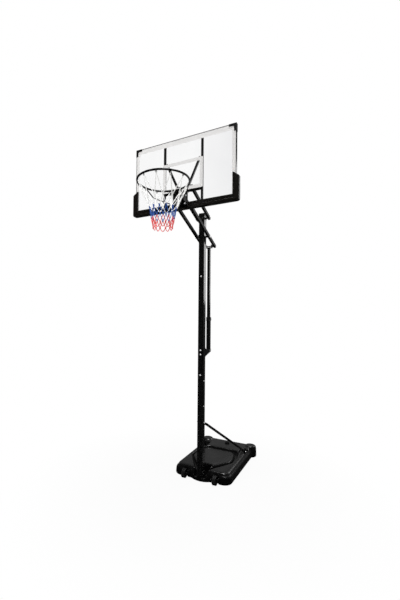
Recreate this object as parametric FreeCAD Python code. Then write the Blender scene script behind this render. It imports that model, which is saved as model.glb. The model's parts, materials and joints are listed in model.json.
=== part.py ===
"""Portable basketball hoop: ballast base on wheels, square pole, parallelogram lift arms, board and sprung rim.

Frame: millimetres, +Z up, origin on the floor under the pole's centre line. The court side, where the ring
hangs, is -Y. Left and right are -X and +X. The board is at its highest setting.
"""
import FreeCAD, Part
import math
import os

Vector = FreeCAD.Vector

X_AXIS = Vector(1, 0, 0)
Y_AXIS = Vector(0, 1, 0)
Z_AXIS = Vector(0, 0, 1)

# ---------------------------------------------------------------- driving dimensions
# Ring and board
ring_top_height = 3050.0
ring_inner_diameter = 457.0
ring_rod_diameter = 18.0
ring_to_board_gap = 150.0
board_width = 1118.0
board_height = 711.0
board_depth = 30.0
board_lip = 5.0
board_bottom_height = 2915.0
board_front_y = -530.0
panel_thickness = 4.0
panel_setback = 1.6
print_thickness = 0.4

# Pole
pole_side = 66.0
pole_corner = 5.0
pole_wall = 2.0
spigot_clearance = 0.4
pole_foot_height = 35.5
lower_seam_height = 1195.0
upper_seam_height = 2310.0
pole_top_height = 3000.0
lower_spigot_foot = 832.0
upper_spigot_foot = 2027.0

# Lift arms
pivot_y = 18.0
lower_pivot_height = 2744.0
upper_pivot_height = 2957.0
arm_length = 505.0
arm_rest_angle = 21.5
arm_tail = 194.0
arm_x = 70.0
arm_width = 25.0
arm_height = 32.0
arm_wall = 1.8
arm_end = 15.0
pin_diameter = 12.0
swing_range = 48.0

# Adjuster behind the pole
adjuster_outer_side = 42.0
adjuster_inner_side = 34.0
adjuster_wall = 2.0
adjuster_foot_height = 1428.0
adjuster_collar_height = 1828.0
adjuster_inner_foot = 1485.0

# Base
base_half_width = 340.0
base_front_y = -12.0
base_rear_y = 1065.0
base_deck_height = 125.0
base_wall = 5.0
wheel_radius = 50.0
wheel_width = 42.0
wheel_x = 184.0
wheel_y = -38.0
wheel_z = 52.0
axle_diameter = 12.0

# Struts
strut_diameter = 28.0
strut_top_height = 642.0
strut_foot_x = 280.0
strut_foot_y = 812.0
strut_pad_height = 92.0

# Bolts
bolt_diameter = 8.0
bolt_clearance = 0.3
running_clearance = 0.05

# ---------------------------------------------------------------- worked-out dimensions
ring_z = ring_top_height - ring_rod_diameter / 2
ring_radius = (ring_inner_diameter + ring_rod_diameter) / 2
ring_y = board_front_y - ring_to_board_gap - ring_inner_diameter / 2
board_top_height = board_bottom_height + board_height
board_back_y = board_front_y + board_depth
panel_front_y = board_front_y + panel_setback
panel_back_y = panel_front_y + panel_thickness
rest_cos = math.cos(math.radians(arm_rest_angle))
rest_sin = math.sin(math.radians(arm_rest_angle))
arm_forward = Vector(0, -rest_cos, rest_sin)
front_pivot_y = pivot_y - arm_length * rest_cos
front_pivot_rise = arm_length * rest_sin
tail_y = pivot_y + arm_tail * rest_cos
tail_z = lower_pivot_height - arm_tail * rest_sin
lowest_angle = swing_range - arm_rest_angle
tail_low_y = pivot_y + arm_tail * math.cos(math.radians(lowest_angle))
adjuster_y = (pivot_y + arm_tail + tail_low_y) / 2
lug_gap = arm_width / 2 + 1.6


# ---------------------------------------------------------------- shape helpers
def box(x0, x1, y0, y1, z0, z1):
    """Block between two corners."""
    return Part.makeBox(x1 - x0, y1 - y0, z1 - z0, Vector(x0, y0, z0))


def rod(start, end, radius):
    """Round bar from one point to another."""
    axis = end - start
    return Part.makeCylinder(radius, axis.Length, start, axis)


def ring_disc(centre, axis, outer, inner, thickness):
    """Flat washer or short bush, standing on its centre point along the axis."""
    solid = Part.makeCylinder(outer, thickness, centre, axis)
    return solid.cut(Part.makeCylinder(inner, thickness + 2, centre - axis, axis))


def joined(first, *others):
    """One solid from pieces that touch or overlap."""
    return first.multiFuse(list(others)).removeSplitter()


def mirrored(shape):
    """The same shape on the other side of the centre plane."""
    return shape.mirror(Vector(0, 0, 0), X_AXIS)


def rounded_rectangle(x, y, half_x, half_y, corner, z):
    """Closed outline with quarter-circle corners, level at height z."""
    k = corner * (1 - math.sqrt(0.5))
    x0, x1, y0, y1 = x - half_x, x + half_x, y - half_y, y + half_y
    c = corner
    edges = [
        Part.LineSegment(Vector(x0 + c, y0, z), Vector(x1 - c, y0, z)).toShape(),
        Part.Arc(Vector(x1 - c, y0, z), Vector(x1 - k, y0 + k, z), Vector(x1, y0 + c, z)).toShape(),
        Part.LineSegment(Vector(x1, y0 + c, z), Vector(x1, y1 - c, z)).toShape(),
        Part.Arc(Vector(x1, y1 - c, z), Vector(x1 - k, y1 - k, z), Vector(x1 - c, y1, z)).toShape(),
        Part.LineSegment(Vector(x1 - c, y1, z), Vector(x0 + c, y1, z)).toShape(),
        Part.Arc(Vector(x0 + c, y1, z), Vector(x0 + k, y1 - k, z), Vector(x0, y1 - c, z)).toShape(),
        Part.LineSegment(Vector(x0, y1 - c, z), Vector(x0, y0 + c, z)).toShape(),
        Part.Arc(Vector(x0, y0 + c, z), Vector(x0 + k, y0 + k, z), Vector(x0 + c, y0, z)).toShape(),
    ]
    return Part.Wire(edges)


def rounded_polygon(corners, grow, z):
    """Closed level outline from corners (x, y, radius), each turned into an arc; grow moves it outwards."""
    count = len(corners)
    arcs = []
    for i, (x, y, radius) in enumerate(corners):
        here = Vector(x, y, z)
        to_last = (Vector(corners[i - 1][0], corners[i - 1][1], z) - here).normalize()
        to_next = (Vector(corners[(i + 1) % count][0], corners[(i + 1) % count][1], z) - here).normalize()
        half_angle = to_last.getAngle(to_next) / 2
        inwards = (to_last + to_next).normalize()
        tip = here - inwards * (grow / math.sin(half_angle))
        arc_radius = radius + grow
        reach = arc_radius / math.tan(half_angle)
        middle = tip + inwards * (arc_radius / math.sin(half_angle) - arc_radius)
        arcs.append((tip + to_last * reach, middle, tip + to_next * reach))
    edges = []
    for i, (start, middle, end) in enumerate(arcs):
        edges.append(Part.LineSegment(arcs[i - 1][2], start).toShape())
        edges.append(Part.Arc(start, middle, end).toShape())
    return Part.Wire(edges)


def square_prism(y, side, corner, z0, z1):
    """Upright square bar with rounded corners, centred on x = 0."""
    outline = rounded_rectangle(0, y, side / 2, side / 2, corner, z0)
    return Part.Face(outline).extrude(Vector(0, 0, z1 - z0))


def square_tube(y, side, corner, wall, z0, z1):
    """Upright square tube."""
    outer = square_prism(y, side, corner, z0, z1)
    inner = square_prism(y, side - 2 * wall, max(corner - wall, 0.8), z0 - 1, z1 + 1)
    return outer.cut(inner)


def bar_between(start, end, across, width, height):
    """Straight bar of rectangular section; across is the direction of its width."""
    along = end - start
    up = along.cross(across).normalize() * (height / 2)
    side = across * (width / 2)
    corners = [start + side + up, start - side + up, start - side - up, start + side - up, start + side + up]
    return Part.Face(Part.makePolygon(corners)).extrude(along)


def tube_between(start, end, across, width, height, wall):
    """Straight rectangular tube, open at both ends."""
    outer = bar_between(start, end, across, width, height)
    step = (end - start).normalize()
    return outer.cut(bar_between(start - step, end + step, across, width - 2 * wall, height - 2 * wall))


def side_plate(x0, x1, corners):
    """Plate standing in the Y-Z plane, from its corner points (y, z)."""
    points = [Vector(x0, y, z) for y, z in corners]
    return Part.Face(Part.makePolygon(points + points[:1])).extrude(Vector(x1 - x0, 0, 0))


def front_plate(y0, y1, corners):
    """Plate standing in the X-Z plane, from its corner points (x, z)."""
    points = [Vector(x, y0, z) for x, z in corners]
    return Part.Face(Part.makePolygon(points + points[:1])).extrude(Vector(0, y1 - y0, 0))


def hex_prism(centre, axis, across_flats, thickness):
    """Hexagonal block standing on its centre point along the axis."""
    radius = across_flats / math.sqrt(3)
    side = Z_AXIS if abs(axis.z) < 0.5 else X_AXIS
    other = axis.cross(side)
    points = [
        centre + side * (radius * math.cos(math.radians(60 * i))) + other * (radius * math.sin(math.radians(60 * i)))
        for i in range(7)
    ]
    return Part.Face(Part.makePolygon(points)).extrude(axis * thickness)


def dome(centre, axis, radius, height):
    """Low round bolt head: a slice of a ball, flat side on the centre point."""
    ball_radius = (radius**2 + height**2) / (2 * height)
    ball = Part.makeSphere(ball_radius, centre - axis * (ball_radius - height))
    return ball.common(Part.makeCylinder(radius + 1, height + 1, centre, axis))


def domed_bolt(head, axis, grip, diameter, head_radius, head_height, tail=10.0):
    """Bolt with a domed head; head is the point under the head, axis points from shank to head."""
    shank = Part.makeCylinder(diameter / 2, grip + tail + 0.5, head - axis * (grip + tail), axis)
    return joined(dome(head, axis, head_radius, head_height), shank)


def nut(face, axis, diameter):
    """Hex nut that stands on face along the axis."""
    blank = hex_prism(face, axis, diameter * 1.625, diameter * 0.8)
    return blank.cut(Part.makeCylinder(diameter / 2 + running_clearance, diameter * 3, face - axis * diameter, axis))


def bolt_and_nut(head, axis, grip, diameter, head_radius, head_height):
    """Domed bolt and its nut, clamping a grip length."""
    bolt = domed_bolt(head, axis, grip, diameter, head_radius, head_height, diameter * 1.1)
    return [bolt, nut(head - axis * (grip + 0.2), axis * -1, diameter)]


def drill(shape, centre, axis, diameter, length):
    """Cut a round hole centred on a point."""
    return shape.cut(Part.makeCylinder(diameter / 2, length, centre - axis * (length / 2), axis))


def save(name, *solids):
    """Write one named sub-part; several solids stay separate inside it."""
    shape = solids[0] if len(solids) == 1 else Part.makeCompound(list(solids))
    shape.exportStep(f"parts/{name}.step")


# ---------------------------------------------------------------- base
lobe_x = 302.0
lobe_y = 962.0
socket_front_y = -37.0
nose_front_y = -47.0
nose_radius = 192.0
nose_height = 62.0
foot_screw_rows = (-25.0, 60.0)
fill_y = 905.0
fill_radius = 22.0
cap_radius = 31.0
foot_plate_half = 58.0
foot_plate_rear_y = 74.0
foot_screw_offset = 46.0
lug_width = 12.0
pocket_half = wheel_width / 2 + 4
# Outlines of the bowl in the deck and of the raised centre in it: shields that narrow towards the pole.
bowl_outline = [(85, 20, 30), (265, 335, 70), (262, 520, 300), (225, 722, 90)]
centre_outline = [(60, 85, 25), (224, 318, 55), (226, 440, 300), (185, 612, 80)]


def level_loft(sections):
    """Solid through rounded rectangles; each section is (x, y, half_x, half_y, corner, z)."""
    return Part.makeLoft([rounded_rectangle(*section) for section in sections], True, True)


def shield(outline, grow, z):
    """Both halves of a shield outline at a height."""
    other_half = [(-x, y, radius) for x, y, radius in reversed(outline)]
    return rounded_polygon(outline + other_half, grow, z)


def base_form(inset):
    """Outside of the tank; with an inset, the hollow inside it."""
    middle_y = (base_front_y + base_rear_y) / 2
    half_length = (base_rear_y - base_front_y) / 2
    body = level_loft(
        [
            (0, middle_y, base_half_width - 6 - inset, half_length - 6 - inset, 90, inset),
            (0, middle_y, base_half_width - inset, half_length - inset, 90, 16 + inset),
            (0, middle_y, base_half_width - 9 - inset, half_length - 9 - inset, 86, 90 - inset),
            (0, middle_y, base_half_width - 32 - inset, half_length - 32 - inset, 74, base_deck_height - inset),
        ]
    )
    for side in (-1, 1):
        lobe = Part.makeCone(78 - inset, 62 - inset, 146 - 2 * inset, Vector(side * lobe_x, lobe_y, inset))
        body = body.fuse(lobe)
    if inset == 0:
        nose = Part.makeCylinder(nose_radius, nose_height, Vector(0, nose_front_y + nose_radius, 0))
        body = body.fuse(nose.common(box(-138, 138, nose_front_y - 5, 10, 0, nose_height)))
    trench_wires = [shield(bowl_outline, inset - 12, 88 - inset), shield(bowl_outline, inset + 8, 150)]
    trench = Part.makeLoft(trench_wires, True, True)
    centre_wires = [shield(centre_outline, 18 - inset, 70), shield(centre_outline, -inset, 134 - inset)]
    plateau = Part.makeLoft(centre_wires, True, True)
    socket = level_loft(
        [
            (0, (socket_front_y + 150) / 2, 66 + inset, (150 - socket_front_y) / 2 + inset, 12, 30 - inset),
            (0, (socket_front_y + 160) / 2, 84 + inset, (160 - socket_front_y) / 2 + inset, 20, 150),
        ]
    )
    body = body.cut(trench).fuse(plateau).cut(socket)
    for side in (-1, 1):
        x = side * wheel_x
        half = pocket_half + inset
        body = body.cut(box(x - half, x + half, -90, 12 + inset, -5, 112 + inset))
        z = strut_pad_height - inset
        pocket = box(224 - inset, strut_foot_x + 24 + inset, 690 - inset, strut_foot_y + 36 + inset, z, 150)
        body = body.cut(pocket if side > 0 else mirrored(pocket))
    return body


def axle_lugs():
    """Moulded ears each side of both wheel pockets."""
    ears = []
    for side in (-1, 1):
        for offset in (-1, 1):
            x = side * wheel_x + offset * (pocket_half + lug_width / 2)
            half = lug_width / 2
            start = Vector(x - half, wheel_y, wheel_z)
            round_end = Part.makeCylinder(20, lug_width, start, X_AXIS)
            ears.append(joined(round_end, box(x - half, x + half, wheel_y, base_front_y + 8, wheel_z - 20, wheel_z + 20)))
    return ears


def base_tank():
    """Hollow ballast tank with wheel pockets, pole socket, strut pads and fill hole."""
    tank = base_form(0).cut(base_form(base_wall))
    tank = tank.multiFuse(axle_lugs())
    for side in (-1, 1):
        axle_bore = axle_diameter + 2 * bolt_clearance
        tank = drill(tank, Vector(side * wheel_x, wheel_y, wheel_z), X_AXIS, axle_bore, 2 * pocket_half + 60)
        tank = drill(tank, Vector(side * strut_foot_x, strut_foot_y, strut_pad_height), Z_AXIS, bolt_diameter + 0.6, 30)
        for y in foot_screw_rows:
            tank = drill(tank, Vector(side * foot_screw_offset, y, 30), Z_AXIS, 6.6, 30)
    tank = drill(tank, Vector(0, fill_y, base_deck_height), Z_AXIS, 2 * fill_radius, 30)
    return tank.removeSplitter()


def fill_cap():
    """Ribbed screw cap with its plug, over the seal."""
    seal_top = base_deck_height + 2.2
    disc = Part.makeCylinder(cap_radius, 11, Vector(0, fill_y, seal_top))
    plug = Part.makeCylinder(fill_radius - 0.6, 14, Vector(0, fill_y, seal_top - 13.5))
    grip = box(-22, 22, fill_y - 4, fill_y + 4, seal_top + 10.5, seal_top + 19)
    cap = joined(disc, plug, grip)
    for i in range(12):
        angle = math.radians(30 * i)
        spot = Vector((cap_radius + 1) * math.cos(angle), fill_y + (cap_radius + 1) * math.sin(angle), seal_top - 1)
        cap = cap.cut(Part.makeCylinder(3.5, 14, spot))
    return cap


def save_base():
    save("base_tank", base_tank())
    save("fill_cap", fill_cap())
    save("fill_cap_seal", ring_disc(Vector(0, fill_y, base_deck_height + 0.1), Z_AXIS, 27, fill_radius + 1, 2))


# ---------------------------------------------------------------- wheels
def wheel():
    """Moulded wheel with a hub, web recesses and a rounded tread, on the right-hand axle."""
    half = wheel_width / 2
    start = Vector(wheel_x - half, wheel_y, wheel_z)
    body = Part.makeCylinder(wheel_radius, wheel_width, start, X_AXIS)
    body = body.makeFillet(5, [e for e in body.Edges if e.Length > 250 and e.Closed and len(e.Vertexes) == 1])
    for x, direction in ((wheel_x - half, 1), (wheel_x + half, -1)):
        recess = Part.makeCylinder(wheel_radius - 9, 12, Vector(x, wheel_y, wheel_z), X_AXIS * direction)
        hub = Part.makeCylinder(15, 12, Vector(x, wheel_y, wheel_z), X_AXIS * direction)
        body = body.cut(recess.cut(hub))
    bore = axle_diameter + 2 * running_clearance
    return drill(body, Vector(wheel_x, wheel_y, wheel_z), X_AXIS, bore, 100)


def save_wheels():
    right = wheel()
    save("wheel_right", right)
    save("wheel_left", mirrored(right))
    outer_x = wheel_x + pocket_half + lug_width
    grip = 2 * (pocket_half + lug_width)
    bolt, lock_nut = bolt_and_nut(Vector(outer_x + 0.2, wheel_y, wheel_z), X_AXIS, grip + 0.4, axle_diameter, 11, 5)
    save("wheel_axles", bolt, mirrored(bolt))
    save("wheel_axle_nuts", lock_nut, mirrored(lock_nut))


# ---------------------------------------------------------------- pole
front_bolt_heights = (2287.0, 1174.0)
side_bolt_heights = (2212.0, 1107.0)
stop_bolt_heights = (2020.0, 825.0)
bracket_bolt_heights = (1453.0, 1404.0)
foot_bolt_height = 72.0
strap_thickness = 3.0
cap_skirt = 24.0


def pole_section(bottom, top, spigot_foot=None):
    """One length of square tube; with a spigot, its foot narrows to slide into the section below."""
    tube = square_tube(0, pole_side, pole_corner, pole_wall, bottom, top)
    if spigot_foot is None:
        return tube
    neck = pole_side - 2 * pole_wall - 2 * spigot_clearance
    spigot = square_tube(0, neck, pole_corner - pole_wall, pole_wall, spigot_foot, bottom + 12)
    collar = square_tube(0, pole_side - 1, pole_corner, pole_wall + 4, bottom, bottom + 12)
    return joined(tube, collar, spigot)


def drilled_pole(section):
    """Bolt holes front to back and side to side."""
    hole = bolt_diameter + 2 * bolt_clearance
    for z in front_bolt_heights + bracket_bolt_heights:
        section = drill(section, Vector(0, 0, z), Y_AXIS, hole, 100)
    for z in side_bolt_heights + stop_bolt_heights + (foot_bolt_height,):
        section = drill(section, Vector(0, 0, z), X_AXIS, hole, 100)
    section = drill(section, Vector(0, 4, strut_top_height), X_AXIS, 10 + 2 * bolt_clearance, 100)
    for z in (upper_pivot_height, lower_pivot_height):
        section = drill(section, Vector(0, pivot_y, z), X_AXIS, pin_diameter + 2 * bolt_clearance, 100)
    return section


def pole_cap():
    """Moulded cap that slips over the top of the pole."""
    outer = square_prism(0, pole_side + 6, pole_corner + 3, pole_top_height - cap_skirt, pole_top_height + 6)
    top_edges = [e for e in outer.Edges if e.BoundBox.ZMin > pole_top_height + 5]
    outer = outer.makeFillet(3, top_edges)
    inner = square_prism(0, pole_side + 0.4, pole_corner, pole_top_height - cap_skirt - 1, pole_top_height + 0.3)
    return outer.cut(inner)


def pivot_strap(pivot_z, below, above):
    """U-shaped strap that wraps the front and sides of the pole at a pivot."""
    low, high = pivot_z - below, pivot_z + above
    inner = pole_side / 2 + 0.3
    outer = inner + strap_thickness
    strap = box(-outer, outer, -outer, pole_side / 2, low, high)
    strap = strap.cut(box(-inner, inner, -inner, pole_side, low - 1, high + 1))
    return drill(strap, Vector(0, pivot_y, pivot_z), X_AXIS, pin_diameter + 2 * bolt_clearance, 100)


def foot_socket():
    """Steel foot: plate screwed to the tank with an upstand round the pole."""
    plate = box(-foot_plate_half, foot_plate_half, socket_front_y + 2, foot_plate_rear_y, 30.2, 35.2)
    upstand = square_prism(0, pole_side + 5.8, pole_corner + 2.9, 35.0, 105)
    upstand = upstand.cut(square_prism(0, pole_side + 0.6, pole_corner, 35.2, 106))
    foot = joined(plate, upstand)
    foot = drill(foot, Vector(0, 0, foot_bolt_height), X_AXIS, bolt_diameter + 2 * bolt_clearance, 120)
    for side in (-1, 1):
        for y in foot_screw_rows:
            foot = drill(foot, Vector(side * foot_screw_offset, y, 30), Z_AXIS, 6.6, 20)
    return foot


def joint_bolts():
    """Bolts that hold the three pole sections together."""
    face = pole_side / 2 + 0.2
    solids = []
    for z in front_bolt_heights:
        solids += bolt_and_nut(Vector(0, -face, z), Y_AXIS * -1, 2 * face, bolt_diameter, 8.5, 4.5)
    for z in side_bolt_heights + stop_bolt_heights:
        solids += bolt_and_nut(Vector(face, 0, z), X_AXIS, 2 * face, bolt_diameter, 8.5, 4.5)
    return solids


def save_pole():
    save("pole_lower", drilled_pole(pole_section(pole_foot_height, lower_seam_height)))
    save("pole_middle", drilled_pole(pole_section(lower_seam_height + 0.3, upper_seam_height, lower_spigot_foot)))
    save("pole_upper", drilled_pole(pole_section(upper_seam_height + 0.3, pole_top_height, upper_spigot_foot)))
    save("pole_top_cap", pole_cap())
    save("pole_joint_bolts", *joint_bolts())
    save("pivot_straps", pivot_strap(upper_pivot_height, 20, 14), pivot_strap(lower_pivot_height, 17, 17))
    save("pole_foot_socket", foot_socket())
    face = pole_side / 2 + 3.2
    save("pole_foot_bolt", *bolt_and_nut(Vector(face, 0, foot_bolt_height), X_AXIS, 2 * face, bolt_diameter, 8.5, 4.5))
    screws = [
        domed_bolt(Vector(side * foot_screw_offset, y, 35.4), Z_AXIS, 5, 6, 6.5, 3.5, 12)
        for side in (-1, 1)
        for y in foot_screw_rows
    ]
    save("pole_foot_screws", *screws)


# ---------------------------------------------------------------- struts
def strut():
    """Right-hand strut: round tube whose flattened ends are bolted to the pole and to the tank."""
    top = Vector(pole_side / 2 + 3.2, 4, strut_top_height)
    foot = Vector(strut_foot_x, strut_foot_y, strut_pad_height + 3.0)
    along = (foot - top).normalize()
    tube_foot = foot - along * 44
    tube = rod(top + along * 40, tube_foot, strut_diameter / 2)
    slope = Vector(0, along.y, along.z).normalize()
    top_tab = bar_between(top - slope * 13, top + slope * 48, X_AXIS, 5, 26)
    run = Vector(along.x, along.y, 0).normalize()
    across = Z_AXIS.cross(run)
    foot_tab = bar_between(foot + run * 14, foot - run * 16, across, 30, 5)
    bend = bar_between(foot - run * 14, tube_foot - along * 6, across, 27, 5)
    body = joined(tube, top_tab, foot_tab, bend)
    body = drill(body, top, X_AXIS, 10 + 2 * bolt_clearance, 20)
    return drill(body, foot, Z_AXIS, bolt_diameter + 2 * bolt_clearance, 20)


def save_struts():
    right = strut()
    save("strut_right", right)
    save("strut_left", mirrored(right))
    face = pole_side / 2 + 6.0
    save("strut_top_bolt", *bolt_and_nut(Vector(face, 4, strut_top_height), X_AXIS, 2 * face, 10, 10, 5.5))
    head = Vector(strut_foot_x, strut_foot_y, strut_pad_height + 5.7)
    bolt = domed_bolt(head, Z_AXIS, 6, bolt_diameter, 9, 5, 18)
    save("strut_foot_bolts", bolt, mirrored(bolt))


# ---------------------------------------------------------------- adjuster, fixed part
gusset_thickness = 3.0
knob_height = 1806.0


def adjuster_bracket():
    """Back plate on the pole and two gussets that carry the foot of the adjuster."""
    back = pole_side / 2 + 0.3
    plate = box(-pole_side / 2, pole_side / 2, back, back + 4, 1376, 1478)
    gussets = []
    inner = adjuster_outer_side / 2 + 0.3
    outline = [
        (back + 3.5, 1372),
        (back + 3.5, 1462),
        (adjuster_y - 10, 1452),
        (adjuster_y + adjuster_outer_side / 2, 1452),
        (adjuster_y + adjuster_outer_side / 2, 1424),
    ]
    for side in (-1, 1):
        gussets.append(side_plate(side * inner, side * (inner + gusset_thickness), outline))
    bracket = joined(plate, *gussets)
    for z in bracket_bolt_heights:
        bracket = drill(bracket, Vector(0, 0, z), Y_AXIS, bolt_diameter + 2 * bolt_clearance, 100)
    return drill(bracket, Vector(0, adjuster_y, 1438), X_AXIS, bolt_diameter + 2 * bolt_clearance, 80)


def adjuster_outer():
    """Outer telescopic tube, held at its foot by the bracket."""
    tube = square_tube(adjuster_y, adjuster_outer_side, 5, adjuster_wall, adjuster_foot_height, adjuster_collar_height - 4)
    tube = drill(tube, Vector(0, adjuster_y, 1438), X_AXIS, bolt_diameter + 2 * bolt_clearance, 80)
    return drill(tube, Vector(0, adjuster_y + adjuster_outer_side / 2, knob_height), Y_AXIS, 10.6, 20)


def adjuster_collar():
    """Moulded collar at the mouth of the outer tube."""
    low = adjuster_collar_height - 44
    collar = square_prism(adjuster_y, adjuster_outer_side + 6, 7, low, adjuster_collar_height)
    collar = collar.cut(square_prism(adjuster_y, adjuster_outer_side + 0.4, 5, low - 1, adjuster_collar_height - 3.8))
    collar = collar.cut(square_prism(adjuster_y, adjuster_inner_side + 1, 5, low, adjuster_collar_height + 1))
    return drill(collar, Vector(0, adjuster_y + adjuster_outer_side / 2, knob_height), Y_AXIS, 10.6, 20)


def guide_bush():
    """Plastic sleeve between the two tubes."""
    outer = adjuster_outer_side - 2 * adjuster_wall - 0.2
    inner = adjuster_inner_side + 2 * running_clearance
    bush = square_tube(adjuster_y, outer, 3, (outer - inner) / 2, adjuster_collar_height - 78, adjuster_collar_height - 4.5)
    return drill(bush, Vector(0, adjuster_y + adjuster_outer_side / 2, knob_height), Y_AXIS, 10.6, 20)


def clamp_knob():
    """Star knob with a threaded stud that presses on the inner tube through the collar."""
    tip = adjuster_y + adjuster_inner_side / 2 + 0.3
    stud = Part.makeCylinder(4.9, 24, Vector(0, tip, knob_height), Y_AXIS)
    disc = Part.makeCylinder(20, 15, Vector(0, tip + 12, knob_height), Y_AXIS)
    knob = joined(disc, stud)
    for i in range(6):
        angle = math.radians(60 * i + 30)
        spot = Vector(24 * math.cos(angle), tip + 10, knob_height + 24 * math.sin(angle))
        knob = knob.cut(Part.makeCylinder(9, 20, spot, Y_AXIS))
    return knob


def save_adjuster_fixed():
    save("adjuster_bracket", adjuster_bracket())
    solids = []
    front = pole_side / 2 + 0.2
    for z in bracket_bolt_heights:
        solids += bolt_and_nut(Vector(0, -front, z), Y_AXIS * -1, 2 * front + 4.2, bolt_diameter, 8.5, 4.5)
    face = adjuster_outer_side / 2 + gusset_thickness + 0.5
    solids += bolt_and_nut(Vector(face, adjuster_y, 1438), X_AXIS, 2 * face, bolt_diameter, 8.5, 4.5)
    save("adjuster_bracket_bolts", *solids)
    save("adjuster_outer_tube", adjuster_outer())
    save("adjuster_collar", adjuster_collar())
    save("adjuster_guide_bush", guide_bush())
    save("clamp_knob", clamp_knob())


# ---------------------------------------------------------------- adjuster, sliding part
cheek_x = 32.0
cheek_thickness = 4.0
slot_half_length = (pivot_y + arm_tail - tail_low_y) / 2 + pin_diameter / 2 + 1.5
slot_half_height = pin_diameter / 2 + 2.0
yoke_drop = 19.0


def adjuster_yoke():
    """Head of the inner tube: floor plate and two slotted cheeks round the arms' rear pin."""
    floor_z = tail_z - yoke_drop
    half_y = slot_half_length + 10
    floor = box(-cheek_x - 1, cheek_x + 1, adjuster_y - half_y + 6, adjuster_y + half_y - 6, floor_z, floor_z + 5)
    cheeks = []
    outline = [
        (adjuster_y - half_y + 6, floor_z),
        (adjuster_y + half_y - 6, floor_z),
        (adjuster_y + half_y, floor_z + 12),
        (adjuster_y + half_y, tail_z + 12),
        (adjuster_y + half_y - 8, tail_z + 20),
        (adjuster_y - half_y + 8, tail_z + 20),
        (adjuster_y - half_y, tail_z + 12),
        (adjuster_y - half_y, floor_z + 12),
    ]
    reach = slot_half_length - slot_half_height
    for side in (-1, 1):
        cheek = side_plate(side * cheek_x, side * (cheek_x + cheek_thickness), outline)
        slot = box(cheek_x - 2, cheek_x + 8, adjuster_y - reach, adjuster_y + reach, tail_z - slot_half_height, tail_z + slot_half_height)
        for end in (-1, 1):
            centre = Vector(cheek_x - 2, adjuster_y + end * reach, tail_z)
            slot = slot.fuse(Part.makeCylinder(slot_half_height, 10, centre, X_AXIS))
        cheeks.append(cheek.cut(slot if side > 0 else mirrored(slot)))
    return joined(floor, *cheeks)


def save_adjuster_ram():
    floor_z = tail_z - yoke_drop
    save("adjuster_inner_tube", square_tube(adjuster_y, adjuster_inner_side, 4, adjuster_wall, adjuster_inner_foot, floor_z - 0.1))
    save("adjuster_yoke", adjuster_yoke())


# ---------------------------------------------------------------- lift arms
bush_radius = 9.0
bush_flange_radius = 12.0
bush_flange = 1.2


def arm_line(pivot_z, back, front):
    """Centre line of an arm at x = 0, from a distance behind the pole pivot to one ahead of it."""
    pivot = Vector(0, pivot_y, pivot_z)
    return pivot - arm_forward * back, pivot + arm_forward * front


def arm(side, pivot_z, back):
    """Rectangular tube arm with holes for its bushes and, on the lower arms, for the rear pin."""
    shift = Vector(side * arm_x, 0, 0)
    start, end = arm_line(pivot_z, back + arm_end, arm_length + arm_end)
    tube = tube_between(start + shift, end + shift, X_AXIS, arm_width, arm_height, arm_wall)
    for distance in (0, arm_length):
        centre = arm_line(pivot_z, 0, distance)[1] + shift
        tube = drill(tube, centre, X_AXIS, 2 * bush_radius + 0.04, 40)
    if back > 0:
        tube = drill(tube, arm_line(pivot_z, back, 0)[0] + shift, X_AXIS, pin_diameter + 0.1, 40)
    return tube


def arm_bushes(pivot_z):
    """Flanged nylon bushes pressed in from both faces of both arms, at both pivots."""
    solids = []
    for side in (-1, 1):
        for distance in (0, arm_length):
            centre = arm_line(pivot_z, 0, distance)[1] + Vector(side * arm_x, 0, 0)
            for face in (-1, 1):
                outward = X_AXIS * face
                sleeve = ring_disc(centre + outward * 0.1, outward, bush_radius, pin_diameter / 2 + running_clearance, arm_width / 2 + 0.4)
                flange = ring_disc(
                    centre + outward * (arm_width / 2 + 0.05), outward, bush_flange_radius, pin_diameter / 2 + running_clearance, bush_flange
                )
                solids.append(joined(sleeve, flange))
    return solids


def arm_plugs(pivot_z, back):
    """Plastic plugs in the open ends of both arms."""
    solids = []
    inner_width = arm_width - 2 * arm_wall - 0.3
    inner_height = arm_height - 2 * arm_wall - 0.3
    start, end = arm_line(pivot_z, back + arm_end, arm_length + arm_end)
    rear_reach = 4.0
    for side in (-1, 1):
        shift = Vector(side * arm_x, 0, 0)
        for tip, outward in ((start + shift, arm_forward * -1), (end + shift, arm_forward)):
            cover = bar_between(tip + outward * 0.1, tip + outward * 2.1, X_AXIS, arm_width, arm_height)
            core = bar_between(tip - outward * rear_reach, tip + outward * 1, X_AXIS, inner_width, inner_height)
            solids.append(joined(cover, core))
    return solids


def pivot_pin_and_nuts(z):
    """Threaded cross shaft through the pole with a nut at each end."""
    half = arm_x + arm_width / 2 + bush_flange + 14
    solids = [rod(Vector(-half, pivot_y, z), Vector(half, pivot_y, z), pin_diameter / 2)]
    face = arm_x + arm_width / 2 + bush_flange + 0.4
    for side in (-1, 1):
        solids.append(nut(Vector(side * face, pivot_y, z), X_AXIS * side, pin_diameter))
    return solids


def pivot_spacers():
    """Spacer tubes between the pole straps and the arms."""
    start = pole_side / 2 + 0.3 + strap_thickness + 0.2
    length = arm_x - arm_width / 2 - bush_flange - 0.3 - start
    solids = []
    for z in (upper_pivot_height, lower_pivot_height):
        for side in (-1, 1):
            base = Vector(side * start, pivot_y, z)
            solids.append(ring_disc(base, X_AXIS * side, 11, pin_diameter / 2 + 0.1, length))
    return solids


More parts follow.
